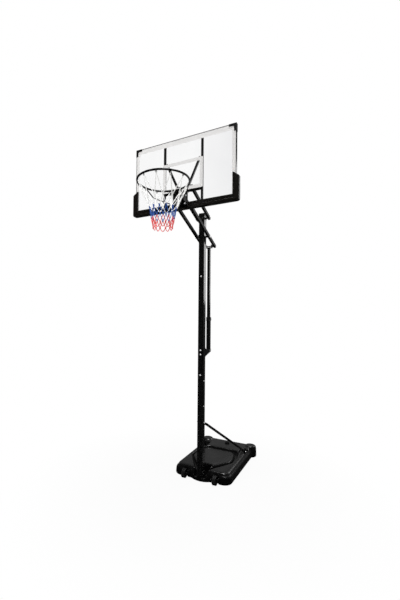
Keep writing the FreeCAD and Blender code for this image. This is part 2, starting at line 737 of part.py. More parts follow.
def tail_pin():
    """Cross pin through the rear ends of the lower arms."""
    half = arm_x + arm_width / 2 + 4
    centre_left = Vector(-half, tail_y, tail_z)
    pin = rod(centre_left, Vector(half, tail_y, tail_z), pin_diameter / 2)
    solids = [pin]
    inner_start = cheek_x + cheek_thickness + 2
    inner_length = arm_x - arm_width / 2 - 0.5 - inner_start
    for side in (-1, 1):
        inner = Vector(side * inner_start, tail_y, tail_z)
        solids.append(ring_disc(inner, X_AXIS * side, 14, pin_diameter / 2 + 0.1, inner_length))
        solids.append(ring_disc(Vector(side * (arm_x + arm_width / 2 + 0.3), tail_y, tail_z), X_AXIS * side, 9, pin_diameter / 2 + 0.02, 3))
    return solids


def save_arms():
    save("pivot_pins", *pivot_pin_and_nuts(upper_pivot_height), *pivot_pin_and_nuts(lower_pivot_height))
    save("pivot_spacers", *pivot_spacers())
    for side, name in ((-1, "left"), (1, "right")):
        save(f"lower_arm_{name}", arm(side, lower_pivot_height, arm_tail))
        save(f"upper_arm_{name}", arm(side, upper_pivot_height, 0))
    save("lower_arm_bushes", *arm_bushes(lower_pivot_height))
    save("upper_arm_bushes", *arm_bushes(upper_pivot_height))
    save("lower_arm_plugs", *arm_plugs(lower_pivot_height, arm_tail))
    save("upper_arm_plugs", *arm_plugs(upper_pivot_height, 0))
    save("lower_arm_tail_pin", *tail_pin())


# ---------------------------------------------------------------- board
frame_bar = 18.0
frame_bar_wall = 2.0
upright_x = 210.0
lower_bar_z = board_bottom_height + board_lip + 0.2 + frame_bar / 2
upper_bar_z = 3082.0
brace_top_z = 3400.0
brace_foot_x = 46.0
border_side_width = 35.0
border_top_width = 50.0
groove_depth = 3.0
target_half_width = 224.0
target_bottom = 3090.0
target_top = 3391.0
target_band = 34.0
board_screw_diameter = 5.0
bar_front_y = -523.8
bar_back_y = -500.2
bar_y = (bar_front_y + bar_back_y) / 2
rim_bolt_x = 34.0
rim_bolt_heights = (2953.0, 3040.0)


def cut_rectangle(shape, half_x, y0, y1, z0, z1):
    """Rectangular opening through the board's thickness."""
    return shape.cut(box(-half_x, half_x, y0, y1, z0, z1))


def board_frame():
    """Thin edge frame with a groove that holds the panel."""
    half = board_width / 2
    frame = box(-half, half, board_front_y, board_back_y, board_bottom_height, board_top_height)
    frame = cut_rectangle(
        frame, half - board_lip, board_front_y - 1, board_back_y + 1, board_bottom_height + board_lip, board_top_height - board_lip
    )
    groove_half = half - board_lip + groove_depth
    frame = cut_rectangle(
        frame,
        groove_half,
        panel_front_y,
        panel_back_y + 0.2,
        board_bottom_height + board_lip - groove_depth,
        board_top_height - board_lip + groove_depth,
    )
    for x in (-upright_x, upright_x):
        frame = drill(frame, Vector(x, bar_y, board_bottom_height), Z_AXIS, board_screw_diameter + 0.4, 2 * board_lip + 4)
        frame = drill(frame, Vector(x, bar_y, board_top_height), Z_AXIS, board_screw_diameter + 0.4, 2 * board_lip + 4)
        frame = drill(frame, Vector(x, bar_y, board_bottom_height), Z_AXIS, 9.6, 6)
        frame = drill(frame, Vector(x, bar_y, board_top_height), Z_AXIS, 9.6, 6)
    return frame


def board_panel():
    """Clear sheet held in the groove, drilled for the rim bolts."""
    held = groove_depth - 0.4 - board_lip
    half = board_width / 2 + held
    low = board_bottom_height - held
    high = board_top_height + held
    panel = box(-half, half, panel_front_y + 0.1, panel_back_y + 0.1, low, high)
    for x in (-rim_bolt_x, rim_bolt_x):
        for z in rim_bolt_heights:
            panel = drill(panel, Vector(x, panel_front_y, z), Y_AXIS, 11, 20)
    return panel


def printed_band(half_x, z0, z1, side_width, top_width, bottom_width):
    """Thin rectangular outline laid on the front of the panel."""
    y0 = panel_front_y - print_thickness
    band = box(-half_x, half_x, y0, panel_front_y, z0, z1)
    return cut_rectangle(band, half_x - side_width, y0 - 1, panel_front_y + 1, z0 + bottom_width, z1 - top_width)


def corner_caps():
    """Moulded L-shaped guards over the two top corners of the frame."""
    reach = 72.0
    face = 24.0
    skin = 2.5
    half = board_width / 2
    top = board_top_height
    outline = [
        (half + skin, top + skin),
        (half - reach, top + skin),
        (half - reach, top - face + 3),
        (half - face - 6, top - face),
        (half - face, top - face - 6),
        (half - face + 3, top - reach),
        (half + skin, top - reach),
    ]
    cap = front_plate(board_front_y - skin, board_back_y + skin, outline)
    inside = box(0, half + 0.2, board_front_y - 0.2, board_back_y + 0.2, 0, top + 0.2)
    cap = cap.cut(inside)
    return [cap, mirrored(cap)]


def frame_bar_solid(start, end, across, grow):
    """Bar of the rear frame between two points; grow is the change in each side's length."""
    depth = bar_back_y - bar_front_y
    return bar_between(start, end, across, frame_bar + grow, depth + grow)


def rear_frame():
    """Welded steel frame behind the panel: two uprights, two cross bars and the pivot lugs."""
    low = board_bottom_height + board_lip + 0.2
    high = board_top_height - board_lip - 0.2
    bars = []
    for x in (-upright_x, upright_x):
        bars.append(frame_bar_solid(Vector(x, bar_y, low), Vector(x, bar_y, high), X_AXIS, 0))
    for z in (lower_bar_z, upper_bar_z):
        bars.append(frame_bar_solid(Vector(-upright_x, bar_y, z), Vector(upright_x, bar_y, z), Z_AXIS, 0))
    lower_pivot_z = lower_pivot_height + front_pivot_rise
    upper_pivot_z = upper_pivot_height + front_pivot_rise
    root_y = bar_back_y - 1
    lower_lug = [
        (root_y, lower_bar_z - 8),
        (root_y, lower_bar_z + 9),
        (front_pivot_y - 8, lower_pivot_z + 17),
        (front_pivot_y + 6, lower_pivot_z + 17),
        (front_pivot_y + 16, lower_pivot_z + 6),
        (front_pivot_y + 16, lower_pivot_z - 10),
        (front_pivot_y + 6, lower_pivot_z - 16),
        (front_pivot_y - 8, lower_pivot_z - 16),
    ]
    upper_lug = [
        (root_y, upper_bar_z - 9),
        (root_y, upper_bar_z + 9),
        (front_pivot_y - 14, upper_pivot_z + 12),
        (front_pivot_y - 4, upper_pivot_z + 17),
        (front_pivot_y + 10, upper_pivot_z + 14),
        (front_pivot_y + 16, upper_pivot_z + 2),
        (front_pivot_y + 12, upper_pivot_z - 12),
        (root_y + 12, upper_bar_z - 9),
    ]
    for side in (-1, 1):
        for offset in (-1, 1):
            near = side * arm_x + offset * lug_gap
            for outline in (lower_lug, upper_lug):
                bars.append(side_plate(near, near + offset * 4, outline))
    frame = joined(*bars)
    for z in (lower_pivot_z, upper_pivot_z):
        frame = drill(frame, Vector(0, front_pivot_y, z), X_AXIS, pin_diameter + 0.2, 300)
    for x in (-upright_x, upright_x):
        for z in (low, high):
            frame = drill(frame, Vector(x, bar_y, z), Z_AXIS, board_screw_diameter + 0.4, 40)
    return hollowed(frame, low, high)


def hollowed(frame, low, high):
    """Bore the frame's bars out to tubes, leaving the uprights' ends closed."""
    grow = -2 * frame_bar_wall
    for x in (-upright_x, upright_x):
        frame = frame.cut(frame_bar_solid(Vector(x, bar_y, low + 12), Vector(x, bar_y, high - 12), X_AXIS, grow))
    end = upright_x - frame_bar
    for z in (lower_bar_z, upper_bar_z):
        frame = frame.cut(frame_bar_solid(Vector(-end, bar_y, z), Vector(end, bar_y, z), Z_AXIS, grow))
    return frame


def v_brace():
    """Right-hand diagonal flat tube from the upright down to the upper cross bar."""
    top = Vector(upright_x - frame_bar / 2 - 13, bar_y, brace_top_z)
    foot = Vector(brace_foot_x, bar_y, upper_bar_z + frame_bar / 2 + 8)
    brace = tube_between(foot, top, Y_AXIS, 16, 22, 1.8)
    far = 400
    brace = brace.cut(box(upright_x - frame_bar / 2 - 0.2, far, bar_y - far, bar_y + far, 3000, 3700))
    return brace.cut(box(-far, far, bar_y - far, bar_y + far, 3000, upper_bar_z + frame_bar / 2 + 0.2))


def board_pivot_bolts():
    """Short bolts that hold the front ends of the four arms in their lugs."""
    solids = []
    for pivot_z in (lower_pivot_height, upper_pivot_height):
        z = pivot_z + front_pivot_rise
        for side in (-1, 1):
            face = arm_x + lug_gap + 4.2
            grip = 2 * (lug_gap + 4.2)
            head = Vector(side * face, front_pivot_y, z)
            solids += bolt_and_nut(head, X_AXIS * side, grip, pin_diameter, 11, 6)
    return solids


def board_screws():
    """Screws through the edge frame into the closed ends of the uprights, heads below the surface."""
    length = 24
    solids = []
    for x in (-upright_x, upright_x):
        for edge, direction in ((board_bottom_height, 1), (board_top_height, -1)):
            axis = Z_AXIS * direction
            head = Vector(x, bar_y, edge) + axis * 0.3
            shank = Part.makeCylinder(board_screw_diameter / 2, length, head, axis)
            solids.append(joined(Part.makeCylinder(4.6, 2.5, head, axis), shank))
    return solids


def board_pad():
    """Foam edge guard: bottom run with two risers, their tops cut on a slant."""
    outer = board_width / 2 + 30
    inner = board_width / 2 - 32
    low = board_bottom_height - 18
    top_of_bottom = board_bottom_height + 45
    tall = board_bottom_height + 254
    short = board_bottom_height + 213
    outline = [
        (-outer + 24, low),
        (outer - 24, low),
        (outer, low + 24),
        (outer, short),
        (inner, tall),
        (inner, top_of_bottom),
        (-inner, top_of_bottom),
        (-inner, tall),
        (-outer, short),
        (-outer, low + 24),
    ]
    pad = front_plate(board_front_y - 15, board_back_y + 9, outline)
    edge = board_width / 2 + 0.8
    pad = pad.cut(box(-edge, edge, board_front_y - 1, board_back_y + 12, board_bottom_height - 0.8, board_top_height))
    return pad.cut(box(-64, 64, board_front_y - 20, board_front_y + 2, low - 1, top_of_bottom + 10))


def save_board():
    save("board_frame", board_frame())
    save("board_panel", board_panel())
    half = board_width / 2 - board_lip - 0.3
    pad_edge = board_bottom_height + 46
    save("border_stripe", printed_band(half, pad_edge, board_top_height - board_lip - 0.3, border_side_width, border_top_width, -1))
    save("target_stripe", printed_band(target_half_width, target_bottom, target_top, target_band, target_band, target_band))
    save("corner_caps", *corner_caps())
    save("rear_frame", rear_frame())
    brace = v_brace()
    save("v_braces", brace, mirrored(brace))
    save("board_pivot_bolts", *board_pivot_bolts())
    save("board_screws", *board_screws())
    save("board_pad", board_pad())


# ---------------------------------------------------------------- rim mount and rim
hinge_y = -556.0
hinge_z = 3022.0
hinge_pin_diameter = 10.0
cheek_gap = 50.0
rim_cheek_thickness = 5.0
nose_half_width = 44.0
nose_top_z = ring_z - ring_rod_diameter / 2 - 0.2
nose_foot_z = 2896.0
nose_front_face_y = -641.0
spring_y = -590.0
shelf_z = 2972.0
brace_rod_radius = 5.0
hook_count = 12
net_waist_z = 2800.0
net_waist_radius = 124.0
net_bottom_z = 2590.0
net_bottom_radius = 94.0


def rim_bracket():
    """Steel bracket bolted through the panel: back plate, two cheeks and the spring shelf."""
    back = panel_front_y - 0.5
    plate = box(-58, 58, back - 6, back, 2928, 3054)
    outline = [(back - 4, 2950), (back - 4, 3044), (-572, 3044), (-604, 3012), (-604, 2966), (-590, 2956)]
    cheeks = [
        side_plate(side * cheek_gap, side * (cheek_gap + rim_cheek_thickness), outline) for side in (-1, 1)
    ]
    shelf = box(-cheek_gap - 1, cheek_gap + 1, -606, back - 4, shelf_z, shelf_z + 5)
    bracket = joined(plate, shelf, *cheeks)
    for x in (-rim_bolt_x, rim_bolt_x):
        for z in rim_bolt_heights:
            bracket = drill(bracket, Vector(x, back, z), Y_AXIS, 10.6, 30)
    bracket = drill(bracket, Vector(0, hinge_y, hinge_z), X_AXIS, hinge_pin_diameter + 0.2, 140)
    return drill(bracket, Vector(0, spring_y, shelf_z), Z_AXIS, bolt_diameter + 0.4, 30)


def backing_box():
    """Short steel box between the two cross bars that backs the panel behind the rim bracket."""
    low = lower_bar_z + frame_bar / 2 + 0.2
    high = upper_bar_z - frame_bar / 2 - 0.2
    block = box(-50, 50, bar_front_y, bar_back_y, low, high)
    block = block.cut(box(-47, 47, bar_front_y + 3, bar_back_y - 3, low - 1, high + 1))
    for x in (-rim_bolt_x, rim_bolt_x):
        for z in rim_bolt_heights:
            block = drill(block, Vector(x, bar_y, z), Y_AXIS, 10.6, 80)
    return block


def rim_bolts():
    """Four bolts through bracket, panel and backing box."""
    head_y = panel_front_y - 6.8
    grip = board_back_y - head_y
    solids = []
    for x in (-rim_bolt_x, rim_bolt_x):
        for z in rim_bolt_heights:
            solids += bolt_and_nut(Vector(x, head_y, z), Y_AXIS * -1, grip, 10, 8.5, 5)
    return solids


def hinge_pin():
    """Pin of the breakaway hinge, with a head and a clip ring."""
    half = cheek_gap + rim_cheek_thickness
    pin = rod(Vector(-half - 5, hinge_y, hinge_z), Vector(half + 0.3, hinge_y, hinge_z), hinge_pin_diameter / 2)
    head = dome(Vector(half + 0.2, hinge_y, hinge_z), X_AXIS, 8, 4)
    clip = ring_disc(Vector(-half - 0.3, hinge_y, hinge_z), X_AXIS * -1, 8, hinge_pin_diameter / 2 + 0.02, 2)
    return [joined(pin, head), clip]


def rim_nose():
    """Folded plate that carries the ring: hinge knuckle, top plate, drop plate and two ribs."""
    knuckle = rod(Vector(-30, hinge_y, hinge_z), Vector(30, hinge_y, hinge_z), 9.5)
    top = box(-nose_half_width, nose_half_width, ring_y + ring_radius - 20, hinge_y - 6, nose_top_z - 5, nose_top_z)
    drop_outline = [
        (-nose_half_width, nose_top_z - 1),
        (nose_half_width, nose_top_z - 1),
        (nose_half_width, 2920),
        (nose_half_width - 12, nose_foot_z),
        (12 - nose_half_width, nose_foot_z),
        (-nose_half_width, 2920),
    ]
    drop = front_plate(nose_front_face_y, nose_front_face_y + 5, drop_outline)
    ribs = []
    outline = [(-640, nose_top_z - 4), (-600, nose_top_z - 4), (-604, nose_top_z - 12), (-640, nose_top_z - 44)]
    for side in (-1, 1):
        edge = side * nose_half_width
        ribs.append(side_plate(edge, edge - side * 4, outline))
    nose = joined(knuckle, top, drop, *ribs)
    return drill(nose, Vector(0, hinge_y, hinge_z), X_AXIS, hinge_pin_diameter + 2 * running_clearance, 100)


def ring():
    """The steel ring."""
    return Part.makeTorus(ring_radius, ring_rod_diameter / 2, Vector(0, ring_y, ring_z))


def rim_brace():
    """Round rod from the ring's sides down to the foot of the nose plate."""
    y = nose_front_face_y - brace_rod_radius - 0.3
    half = [
        Vector(36, y, 2908),
        Vector(92, ring_y + 186, 2923),
        Vector(176, ring_y + 121, 2955),
        Vector(224, ring_y + 80, ring_z - ring_rod_diameter / 2 - brace_rod_radius - 0.2),
    ]
    points = [Vector(-point.x, point.y, point.z) for point in reversed(half)] + half
    runs = [rod(points[i], points[i + 1], brace_rod_radius) for i in range(len(points) - 1)]
    bends = [Part.makeSphere(brace_rod_radius, point) for point in points]
    return joined(runs[0], *runs[1:], *bends)


def net_hooks():
    """Small wire loops welded under the ring."""
    loop_radius = 7.0
    wire_radius = 2.0
    z = ring_z - ring_rod_diameter / 2 - loop_radius - wire_radius - 0.1
    loops = []
    for i in range(hook_count):
        angle = math.radians(360 / hook_count * (i + 0.5))
        centre = Vector(ring_radius * math.cos(angle), ring_y + ring_radius * math.sin(angle), z)
        loops.append(Part.makeTorus(loop_radius, wire_radius, centre, Vector(math.cos(angle), math.sin(angle), 0)))
    return loops


def rim_spring():
    """Coil spring that holds the rim level."""
    wire = 2.0
    coil = 12.0
    low = shelf_z + 5 + wire + 0.3
    height = nose_top_z - 5 - wire - 0.3 - low
    helix = Part.makeHelix(height / 5, height, coil)
    start = Vector(coil, 0, 0)
    section = Part.Wire(Part.makeCircle(wire, start, Vector(0, 1, 0)))
    spring = Part.Wire(helix).makePipeShell([section], True, True)
    return spring.translate(Vector(0, spring_y, low))


def net():
    """Soft net as a thin sleeve that narrows quickly to the waist and slowly below it."""
    top_z = ring_z - 33
    skin = 4.0

    def sleeve(shrink):
        waist = net_waist_radius - shrink
        upper = Part.makeCone(waist, 214 - shrink, top_z - net_waist_z, Vector(0, ring_y, net_waist_z))
        drop = net_waist_z - net_bottom_z
        return upper.fuse(Part.makeCone(net_bottom_radius - shrink, waist, drop, Vector(0, ring_y, net_bottom_z)))

    return sleeve(0).cut(sleeve(skin)).removeSplitter()


def save_rim():
    save("rim_bracket", rim_bracket())
    save("rim_backing_box", backing_box())
    save("rim_bolts", *rim_bolts())
    save("rim_hinge_pin", *hinge_pin())
    guide_head = Vector(0, spring_y, shelf_z - 0.2)
    save("spring_guide_bolt", domed_bolt(guide_head, Z_AXIS * -1, 30, bolt_diameter, 7, 4, 8))
    save("rim_spring", rim_spring())
    save("rim_nose", rim_nose())
    save("ring", ring())
    save("rim_brace", rim_brace())
    save("net_hooks", *net_hooks())
    save("net", net())


os.makedirs("parts", exist_ok=True)
save_base()
save_wheels()
save_pole()
save_struts()
save_adjuster_fixed()
save_adjuster_ram()
save_arms()
save_board()
save_rim()
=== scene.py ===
"""Looks of the portable basketball hoop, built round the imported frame. Metres, +Z up, court side -Y."""
import json
import math

import bmesh
import bpy
from mathutils import Matrix, Vector


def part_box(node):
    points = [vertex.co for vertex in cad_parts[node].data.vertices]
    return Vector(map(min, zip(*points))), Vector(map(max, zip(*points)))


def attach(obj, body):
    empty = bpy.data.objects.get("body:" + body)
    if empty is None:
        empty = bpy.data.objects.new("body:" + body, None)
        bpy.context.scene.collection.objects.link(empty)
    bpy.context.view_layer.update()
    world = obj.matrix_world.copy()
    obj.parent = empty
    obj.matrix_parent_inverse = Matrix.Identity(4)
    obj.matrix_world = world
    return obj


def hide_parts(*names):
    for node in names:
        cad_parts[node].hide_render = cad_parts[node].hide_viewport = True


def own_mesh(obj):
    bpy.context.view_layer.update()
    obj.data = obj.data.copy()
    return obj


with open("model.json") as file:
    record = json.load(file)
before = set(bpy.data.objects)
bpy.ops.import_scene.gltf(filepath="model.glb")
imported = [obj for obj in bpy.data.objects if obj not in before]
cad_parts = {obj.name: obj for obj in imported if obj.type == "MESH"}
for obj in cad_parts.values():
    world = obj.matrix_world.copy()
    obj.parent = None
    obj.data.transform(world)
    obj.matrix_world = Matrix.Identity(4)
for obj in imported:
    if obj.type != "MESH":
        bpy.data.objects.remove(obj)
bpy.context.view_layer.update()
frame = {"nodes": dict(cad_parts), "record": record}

NODES = frame["nodes"]
MM = 0.001
FULL_TURN = 2 * math.pi


# ------------------------------------------------------------------ places taken from the frame
board_low, board_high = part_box("board_frame")
pad_low, pad_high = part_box("board_pad")
ring_low, ring_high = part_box("ring")
tank_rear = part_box("base_tank")[1].y
wheel_low, wheel_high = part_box("wheel_right")
spring_low, spring_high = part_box("rim_spring")

ring_centre = (ring_low + ring_high) / 2
ring_rod = ring_high.z - ring_low.z
ring_radius = (ring_high.x - ring_low.x) / 2 - ring_rod / 2

wheel_x = (wheel_low.x + wheel_high.x) / 2
wheel_y = (wheel_low.y + wheel_high.y) / 2
wheel_z = (wheel_low.z + wheel_high.z) / 2


# ------------------------------------------------------------------ mesh helpers
def new_object(name, data):
    """Object that shows the given data, linked into the scene."""
    thing = bpy.data.objects.new(name, data)
    bpy.context.scene.collection.objects.link(thing)
    return thing


def make_object(name, vertices, faces):
    """New smooth-shaded mesh object at the frame's origin."""
    mesh = bpy.data.meshes.new(name)
    mesh.from_pydata([tuple(v) for v in vertices], [], faces)
    mesh.update()
    shade_smooth(mesh)
    return new_object(name, mesh)


def shade_smooth(mesh):
    """Smooth shading on every face."""
    for polygon in mesh.polygons:
        polygon.use_smooth = True


def clean(thing, distance=1e-6):
    """Merge doubled points, drop empty faces and turn all faces outwards."""
    work = bmesh.new()
    work.from_mesh(thing.data)
    bmesh.ops.remove_doubles(work, verts=work.verts, dist=distance)
    bmesh.ops.dissolve_degenerate(work, edges=work.edges, dist=distance)
    bmesh.ops.recalc_face_normals(work, faces=work.faces)
    work.to_mesh(thing.data)
    work.free()
    thing.data.update()
    return thing


def loft(rings, closed=False):
    """Points and faces through rings of equal length; open lofts get end caps."""
    count = len(rings[0])
    points = [p for ring in rings for p in ring]
    faces = []
    last = len(rings) if closed else len(rings) - 1
    for i in range(last):
        a = i * count
        b = ((i + 1) % len(rings)) * count
        for k in range(count):
            n = (k + 1) % count
            faces.append((a + k, a + n, b + n, b + k))
    if not closed:
        faces.append(tuple(reversed(range(count))))
        faces.append(tuple(range((len(rings) - 1) * count, len(rings) * count)))
    return points, faces


def merged(parts):
    """One list of points and faces from several."""
    points, faces = [], []
    for part_points, part_faces in parts:
        start = len(points)
        points += part_points
        faces += [tuple(start + i for i in face) for face in part_faces]
    return points, faces


def applied(thing):
    """Bake an object's modifiers into its mesh."""
    graph = bpy.context.evaluated_depsgraph_get()
    mesh = bpy.data.meshes.new_from_object(thing.evaluated_get(graph))
    thing.modifiers.clear()
    old = thing.data
    thing.data = mesh
    bpy.data.meshes.remove(old)
    return thing


def rounded_ring(centre_x, centre_y, half_x, half_y, corner, z, steps=12):
    """Level rounded rectangle as a ring of points; the corner radius is kept inside the half sizes."""
    smallest = 1e-4
    corner = max(min(corner, half_x - smallest, half_y - smallest), smallest)
    ring = []
    for quarter, (sx, sy) in enumerate(((1, 1), (-1, 1), (-1, -1), (1, -1))):
        for i in range(steps + 1):
            angle = math.radians(90) * (quarter + i / steps)
            x = centre_x + sx * (half_x - corner) + corner * math.cos(angle)
            y = centre_y + sy * (half_y - corner) + corner * math.sin(angle)
            ring.append(Vector((x, y, z)))
    return ring


def circle_ring(centre_x, centre_y, radius, z, steps=48):
    """Level circle as a ring of points."""
    ring = []
    for i in range(steps):
        angle = FULL_TURN * i / steps
        ring.append(Vector((centre_x + radius * math.cos(angle), centre_y + radius * math.sin(angle), z)))
    return ring


def loop_path(centre, axis_a, axis_b, steps):
    """Points of an ellipse round a centre, given its two half axes as vectors."""
    path = []
    for i in range(steps):
        angle = FULL_TURN * i / steps
        path.append(centre + axis_a * math.cos(angle) + axis_b * math.sin(angle))
    return path


def tube(path, radius, sides=8, closed=False):
    """Round tube along a path, with its frame carried smoothly along; radius is a number or one per point."""
    count = len(path)
    radii = radius if isinstance(radius, list) else [radius] * count
    rings = []
    side = None
    steep = 0.9
    for i, point in enumerate(path):
        if closed:
            along = (path[(i + 1) % count] - path[i - 1]).normalized()
        else:
            along = (path[min(i + 1, count - 1)] - path[max(i - 1, 0)]).normalized()
        if side is None:
            guess = Vector((0, 0, 1)) if abs(along.z) < steep else Vector((1, 0, 0))
            side = along.cross(guess).normalized()
        side = (side - along * side.dot(along)).normalized()
        up = along.cross(side)
        ring = []
        for k in range(sides):
            angle = FULL_TURN * k / sides
            ring.append(point + (side * math.cos(angle) + up * math.sin(angle)) * radii[i])
        rings.append(ring)
    return loft(rings, closed)


def smooth_path(points, steps=6):
    """Catmull-Rom curve through the given points."""
    result = []
    for i in range(len(points) - 1):
        p0 = points[max(i - 1, 0)]
        p1, p2 = points[i], points[i + 1]
        p3 = points[min(i + 2, len(points) - 1)]
        slope = p2 - p0
        square = 2 * p0 - 5 * p1 + 4 * p2 - p3
        cube = 3 * p1 - p0 - 3 * p2 + p3
        for k in range(steps):
            t = k / steps
            result.append(0.5 * ((2 * p1) + slope * t + square * t * t + cube * t**3))
    result.append(points[-1])
    return result


def rounded_outline(corners, steps=4):
    """2-D outline from (u, v, radius) corners, each corner turned into a small curve."""
    outline = []
    count = len(corners)
    for i, (u, v, radius) in enumerate(corners):
        here = Vector((u, v))
        before = Vector(corners[i - 1][:2])
        after = Vector(corners[(i + 1) % count][:2])
        if radius <= 0:
            outline.append(here)
            continue
        start = here + (before - here).normalized() * radius
        end = here + (after - here).normalized() * radius
        for k in range(steps + 1):
            t = k / steps
            outline.append(start * (1 - t) ** 2 + here * 2 * t * (1 - t) + end * t * t)
    return outline


# ------------------------------------------------------------------ material helpers
NOISE_SPREAD = (0.3, 0.7)
SHARP_EDGE = (0.53, 0.62)
OPAQUE_WHITE = (1.0, 1.0, 1.0, 1.0)


def add_node(tree, kind, values=None, **settings):
    """New shader node; values are its inputs, either numbers or sockets to link."""
    node = tree.nodes.new(kind)
    for key, value in settings.items():
        setattr(node, key, value)
    for key, value in (values or {}).items():
        set_input(tree, node.inputs[key], value)
    return node


def set_input(tree, socket, value):
    """Link a socket to an input, or set the input to a plain value."""
    if isinstance(value, bpy.types.NodeSocket):
        tree.links.new(value, socket)
    else:
        socket.default_value = value


def new_material(name):
    """Node material, its tree and its main shader."""
    material = bpy.data.materials.new(name)
    material.use_nodes = True
    tree = material.node_tree
    return material, tree, tree.nodes["Principled BSDF"]


def show(tree, shader_output):
    """Make a shader the visible surface of its material."""
    tree.links.new(shader_output, tree.nodes["Material Output"].inputs["Surface"])


def grey(value, warm=0.0):
    """Near-grey colour; warm shifts it a little to brown."""
    return (value * (1 + warm), value, value * (1 - warm), 1.0)


def object_place(tree):
    """Place of the shaded point in the object's own frame."""
    return add_node(tree, "ShaderNodeTexCoord").outputs["Object"]


def part_of(tree, vector, letter):
    """One of the X, Y and Z parts of a vector socket."""
    return add_node(tree, "ShaderNodeSeparateXYZ", {"Vector": vector}).outputs[letter]


def noise(tree, place, scale, detail=3.0, roughness=0.5):
    """Noise, mostly between the two values of NOISE_SPREAD; scale is in lumps per metre."""
    values = {"Vector": place, "Scale": scale, "Detail": detail, "Roughness": roughness}
    return add_node(tree, "ShaderNodeTexNoise", values).outputs["Fac"]


def ranged(tree, value, low_in, high_in, low_out, high_out):
    """Value carried from one range to another, and held at the ends."""
    values = {"Value": value, "From Min": low_in, "From Max": high_in, "To Min": low_out, "To Max": high_out}
    return add_node(tree, "ShaderNodeMapRange", values).outputs["Result"]


def maths(tree, operation, first, second):
    """Result of one sum on two values."""
    return add_node(tree, "ShaderNodeMath", {0: first, 1: second}, operation=operation).outputs[0]


def mix_colours(tree, factor, first, second):
    """Colour mix; the colour sockets of the mix node are its seventh and eighth inputs."""
    node = add_node(tree, "ShaderNodeMix", {0: factor, 6: first, 7: second}, data_type="RGBA")
    return node.outputs[2]


def mix_shaders(tree, factor, first, second):
    """Blend of two shaders."""
    return add_node(tree, "ShaderNodeMixShader", {"Fac": factor, 1: first, 2: second}).outputs[0]


def glow_by_colour(tree, shader, colour, strength):
    """Let a shader give off a little light of its own colour."""
    tree.links.new(colour, shader.inputs["Emission Color"])
    shader.inputs["Emission Strength"].default_value = strength


def rubbed(tree, place, colour, worn):
    """Colour that turns to the worn one in patches along sharp edges."""
    patch_scale, patch_range, strongest = 60.0, (0.42, 0.6), 0.8
    pointed = add_node(tree, "ShaderNodeNewGeometry").outputs["Pointiness"]
    edge = ranged(tree, pointed, *SHARP_EDGE, 0.0, 1.0)
    patches = ranged(tree, noise(tree, place, patch_scale), *patch_range, 0.0, strongest)
    return mix_colours(tree, maths(tree, "MULTIPLY", edge, patches), colour, worn)


def surface(
    name, dark, light, rough, grain, depth,
    metallic=0.0, patch=9.0, specular=0.5, worn=None, bevel=0.0, sheen=0.0, glow=0.0,
):
    """Procedural finish: patchy colour, uneven roughness, fine grain in the relief and rubbed edges.

    Colour wanders from dark to light, and roughness between the two values of rough. Grain and patch are in
    lumps per metre; depth, the height of the grain, and bevel, the rounding of edges, are in metres.
    """
    patch_share, speckle_share, speckle_range = 0.75, 0.25, (0.35, 0.65)
    speckle_size, rough_patch_size = 0.35, 3.0
    material, tree, shader = new_material(name)
    place = object_place(tree)
    patches = noise(tree, place, patch, detail=5.0, roughness=0.6)
    patches = ranged(tree, patches, *NOISE_SPREAD, 0.0, patch_share)
    speckle = noise(tree, place, grain * speckle_size, detail=2.0)
    speckle = ranged(tree, speckle, *speckle_range, 0.0, speckle_share)
    colour = mix_colours(tree, maths(tree, "ADD", patches, speckle), dark, light)
    unevenness = noise(tree, place, patch * rough_patch_size, detail=4.0, roughness=0.65)
    roughness = ranged(tree, unevenness, *NOISE_SPREAD, *rough)
    if worn is not None:
        colour = rubbed(tree, place, colour, worn)
    relief = {"Height": noise(tree, place, grain, roughness=0.55), "Strength": 1.0, "Distance": depth}
    if bevel > 0:
        relief["Normal"] = add_node(tree, "ShaderNodeBevel", {"Radius": bevel}, samples=4).outputs["Normal"]
    bump = add_node(tree, "ShaderNodeBump", relief)
    tree.links.new(colour, shader.inputs["Base Color"])
    tree.links.new(roughness, shader.inputs["Roughness"])
    tree.links.new(bump.outputs["Normal"], shader.inputs["Normal"])
    shader.inputs["Metallic"].default_value = metallic
    shader.inputs["Specular IOR Level"].default_value = specular
    shader.inputs["Sheen Weight"].default_value = sheen
    glow_by_colour(tree, shader, colour, glow)
    return material


# ------------------------------------------------------------------ materials
black_paint = surface(
    "black_powder_coat", dark=grey(0.002), light=grey(0.0034),
    rough=(0.12, 0.2), grain=900.0, depth=0.00002,
    patch=3.0, worn=grey(0.012), bevel=0.0008,
)
satin_paint = surface(
    "black_satin_coat", dark=grey(0.0018), light=grey(0.0032),
    rough=(0.42, 0.55), grain=900.0, depth=0.00003,
    patch=3.0, specular=0.12, worn=grey(0.01),
)
ring_paint = surface(
    "ring_powder_coat", dark=grey(0.002), light=grey(0.005),
    rough=(0.22, 0.34), grain=700.0, depth=0.00006,
    specular=0.35, worn=grey(0.03),
)
moulded_plastic = surface(
    "black_moulding", dark=grey(0.003), light=grey(0.006),
    rough=(0.34, 0.46), grain=650.0, depth=0.0001,
    specular=0.3, worn=grey(0.02), bevel=0.0008,
)
wheel_plastic = surface(
    "wheel_plastic", dark=grey(0.008), light=grey(0.016),
    rough=(0.42, 0.58), grain=380.0, depth=0.0002,
    patch=30.0, specular=0.4, worn=grey(0.03),
)
seal_rubber = surface(
    "seal_rubber", dark=grey(0.006), light=grey(0.012),
    rough=(0.6, 0.75), grain=500.0, depth=0.0001,
)
# Its glow is painted light: it paints in the bright glints on the zinc-plated bolts and pins.
zinc_plate = surface(
    "zinc_plate", dark=grey(0.7), light=grey(0.85),
    rough=(0.25, 0.4), grain=300.0, depth=0.00003,
    metallic=0.2, patch=70.0, glow=0.35,
)
dull_zinc = surface(
    "dulled_zinc", dark=grey(0.05), light=grey(0.13),
    rough=(0.4, 0.55), grain=300.0, depth=0.00003,
    metallic=0.3, patch=70.0,
)
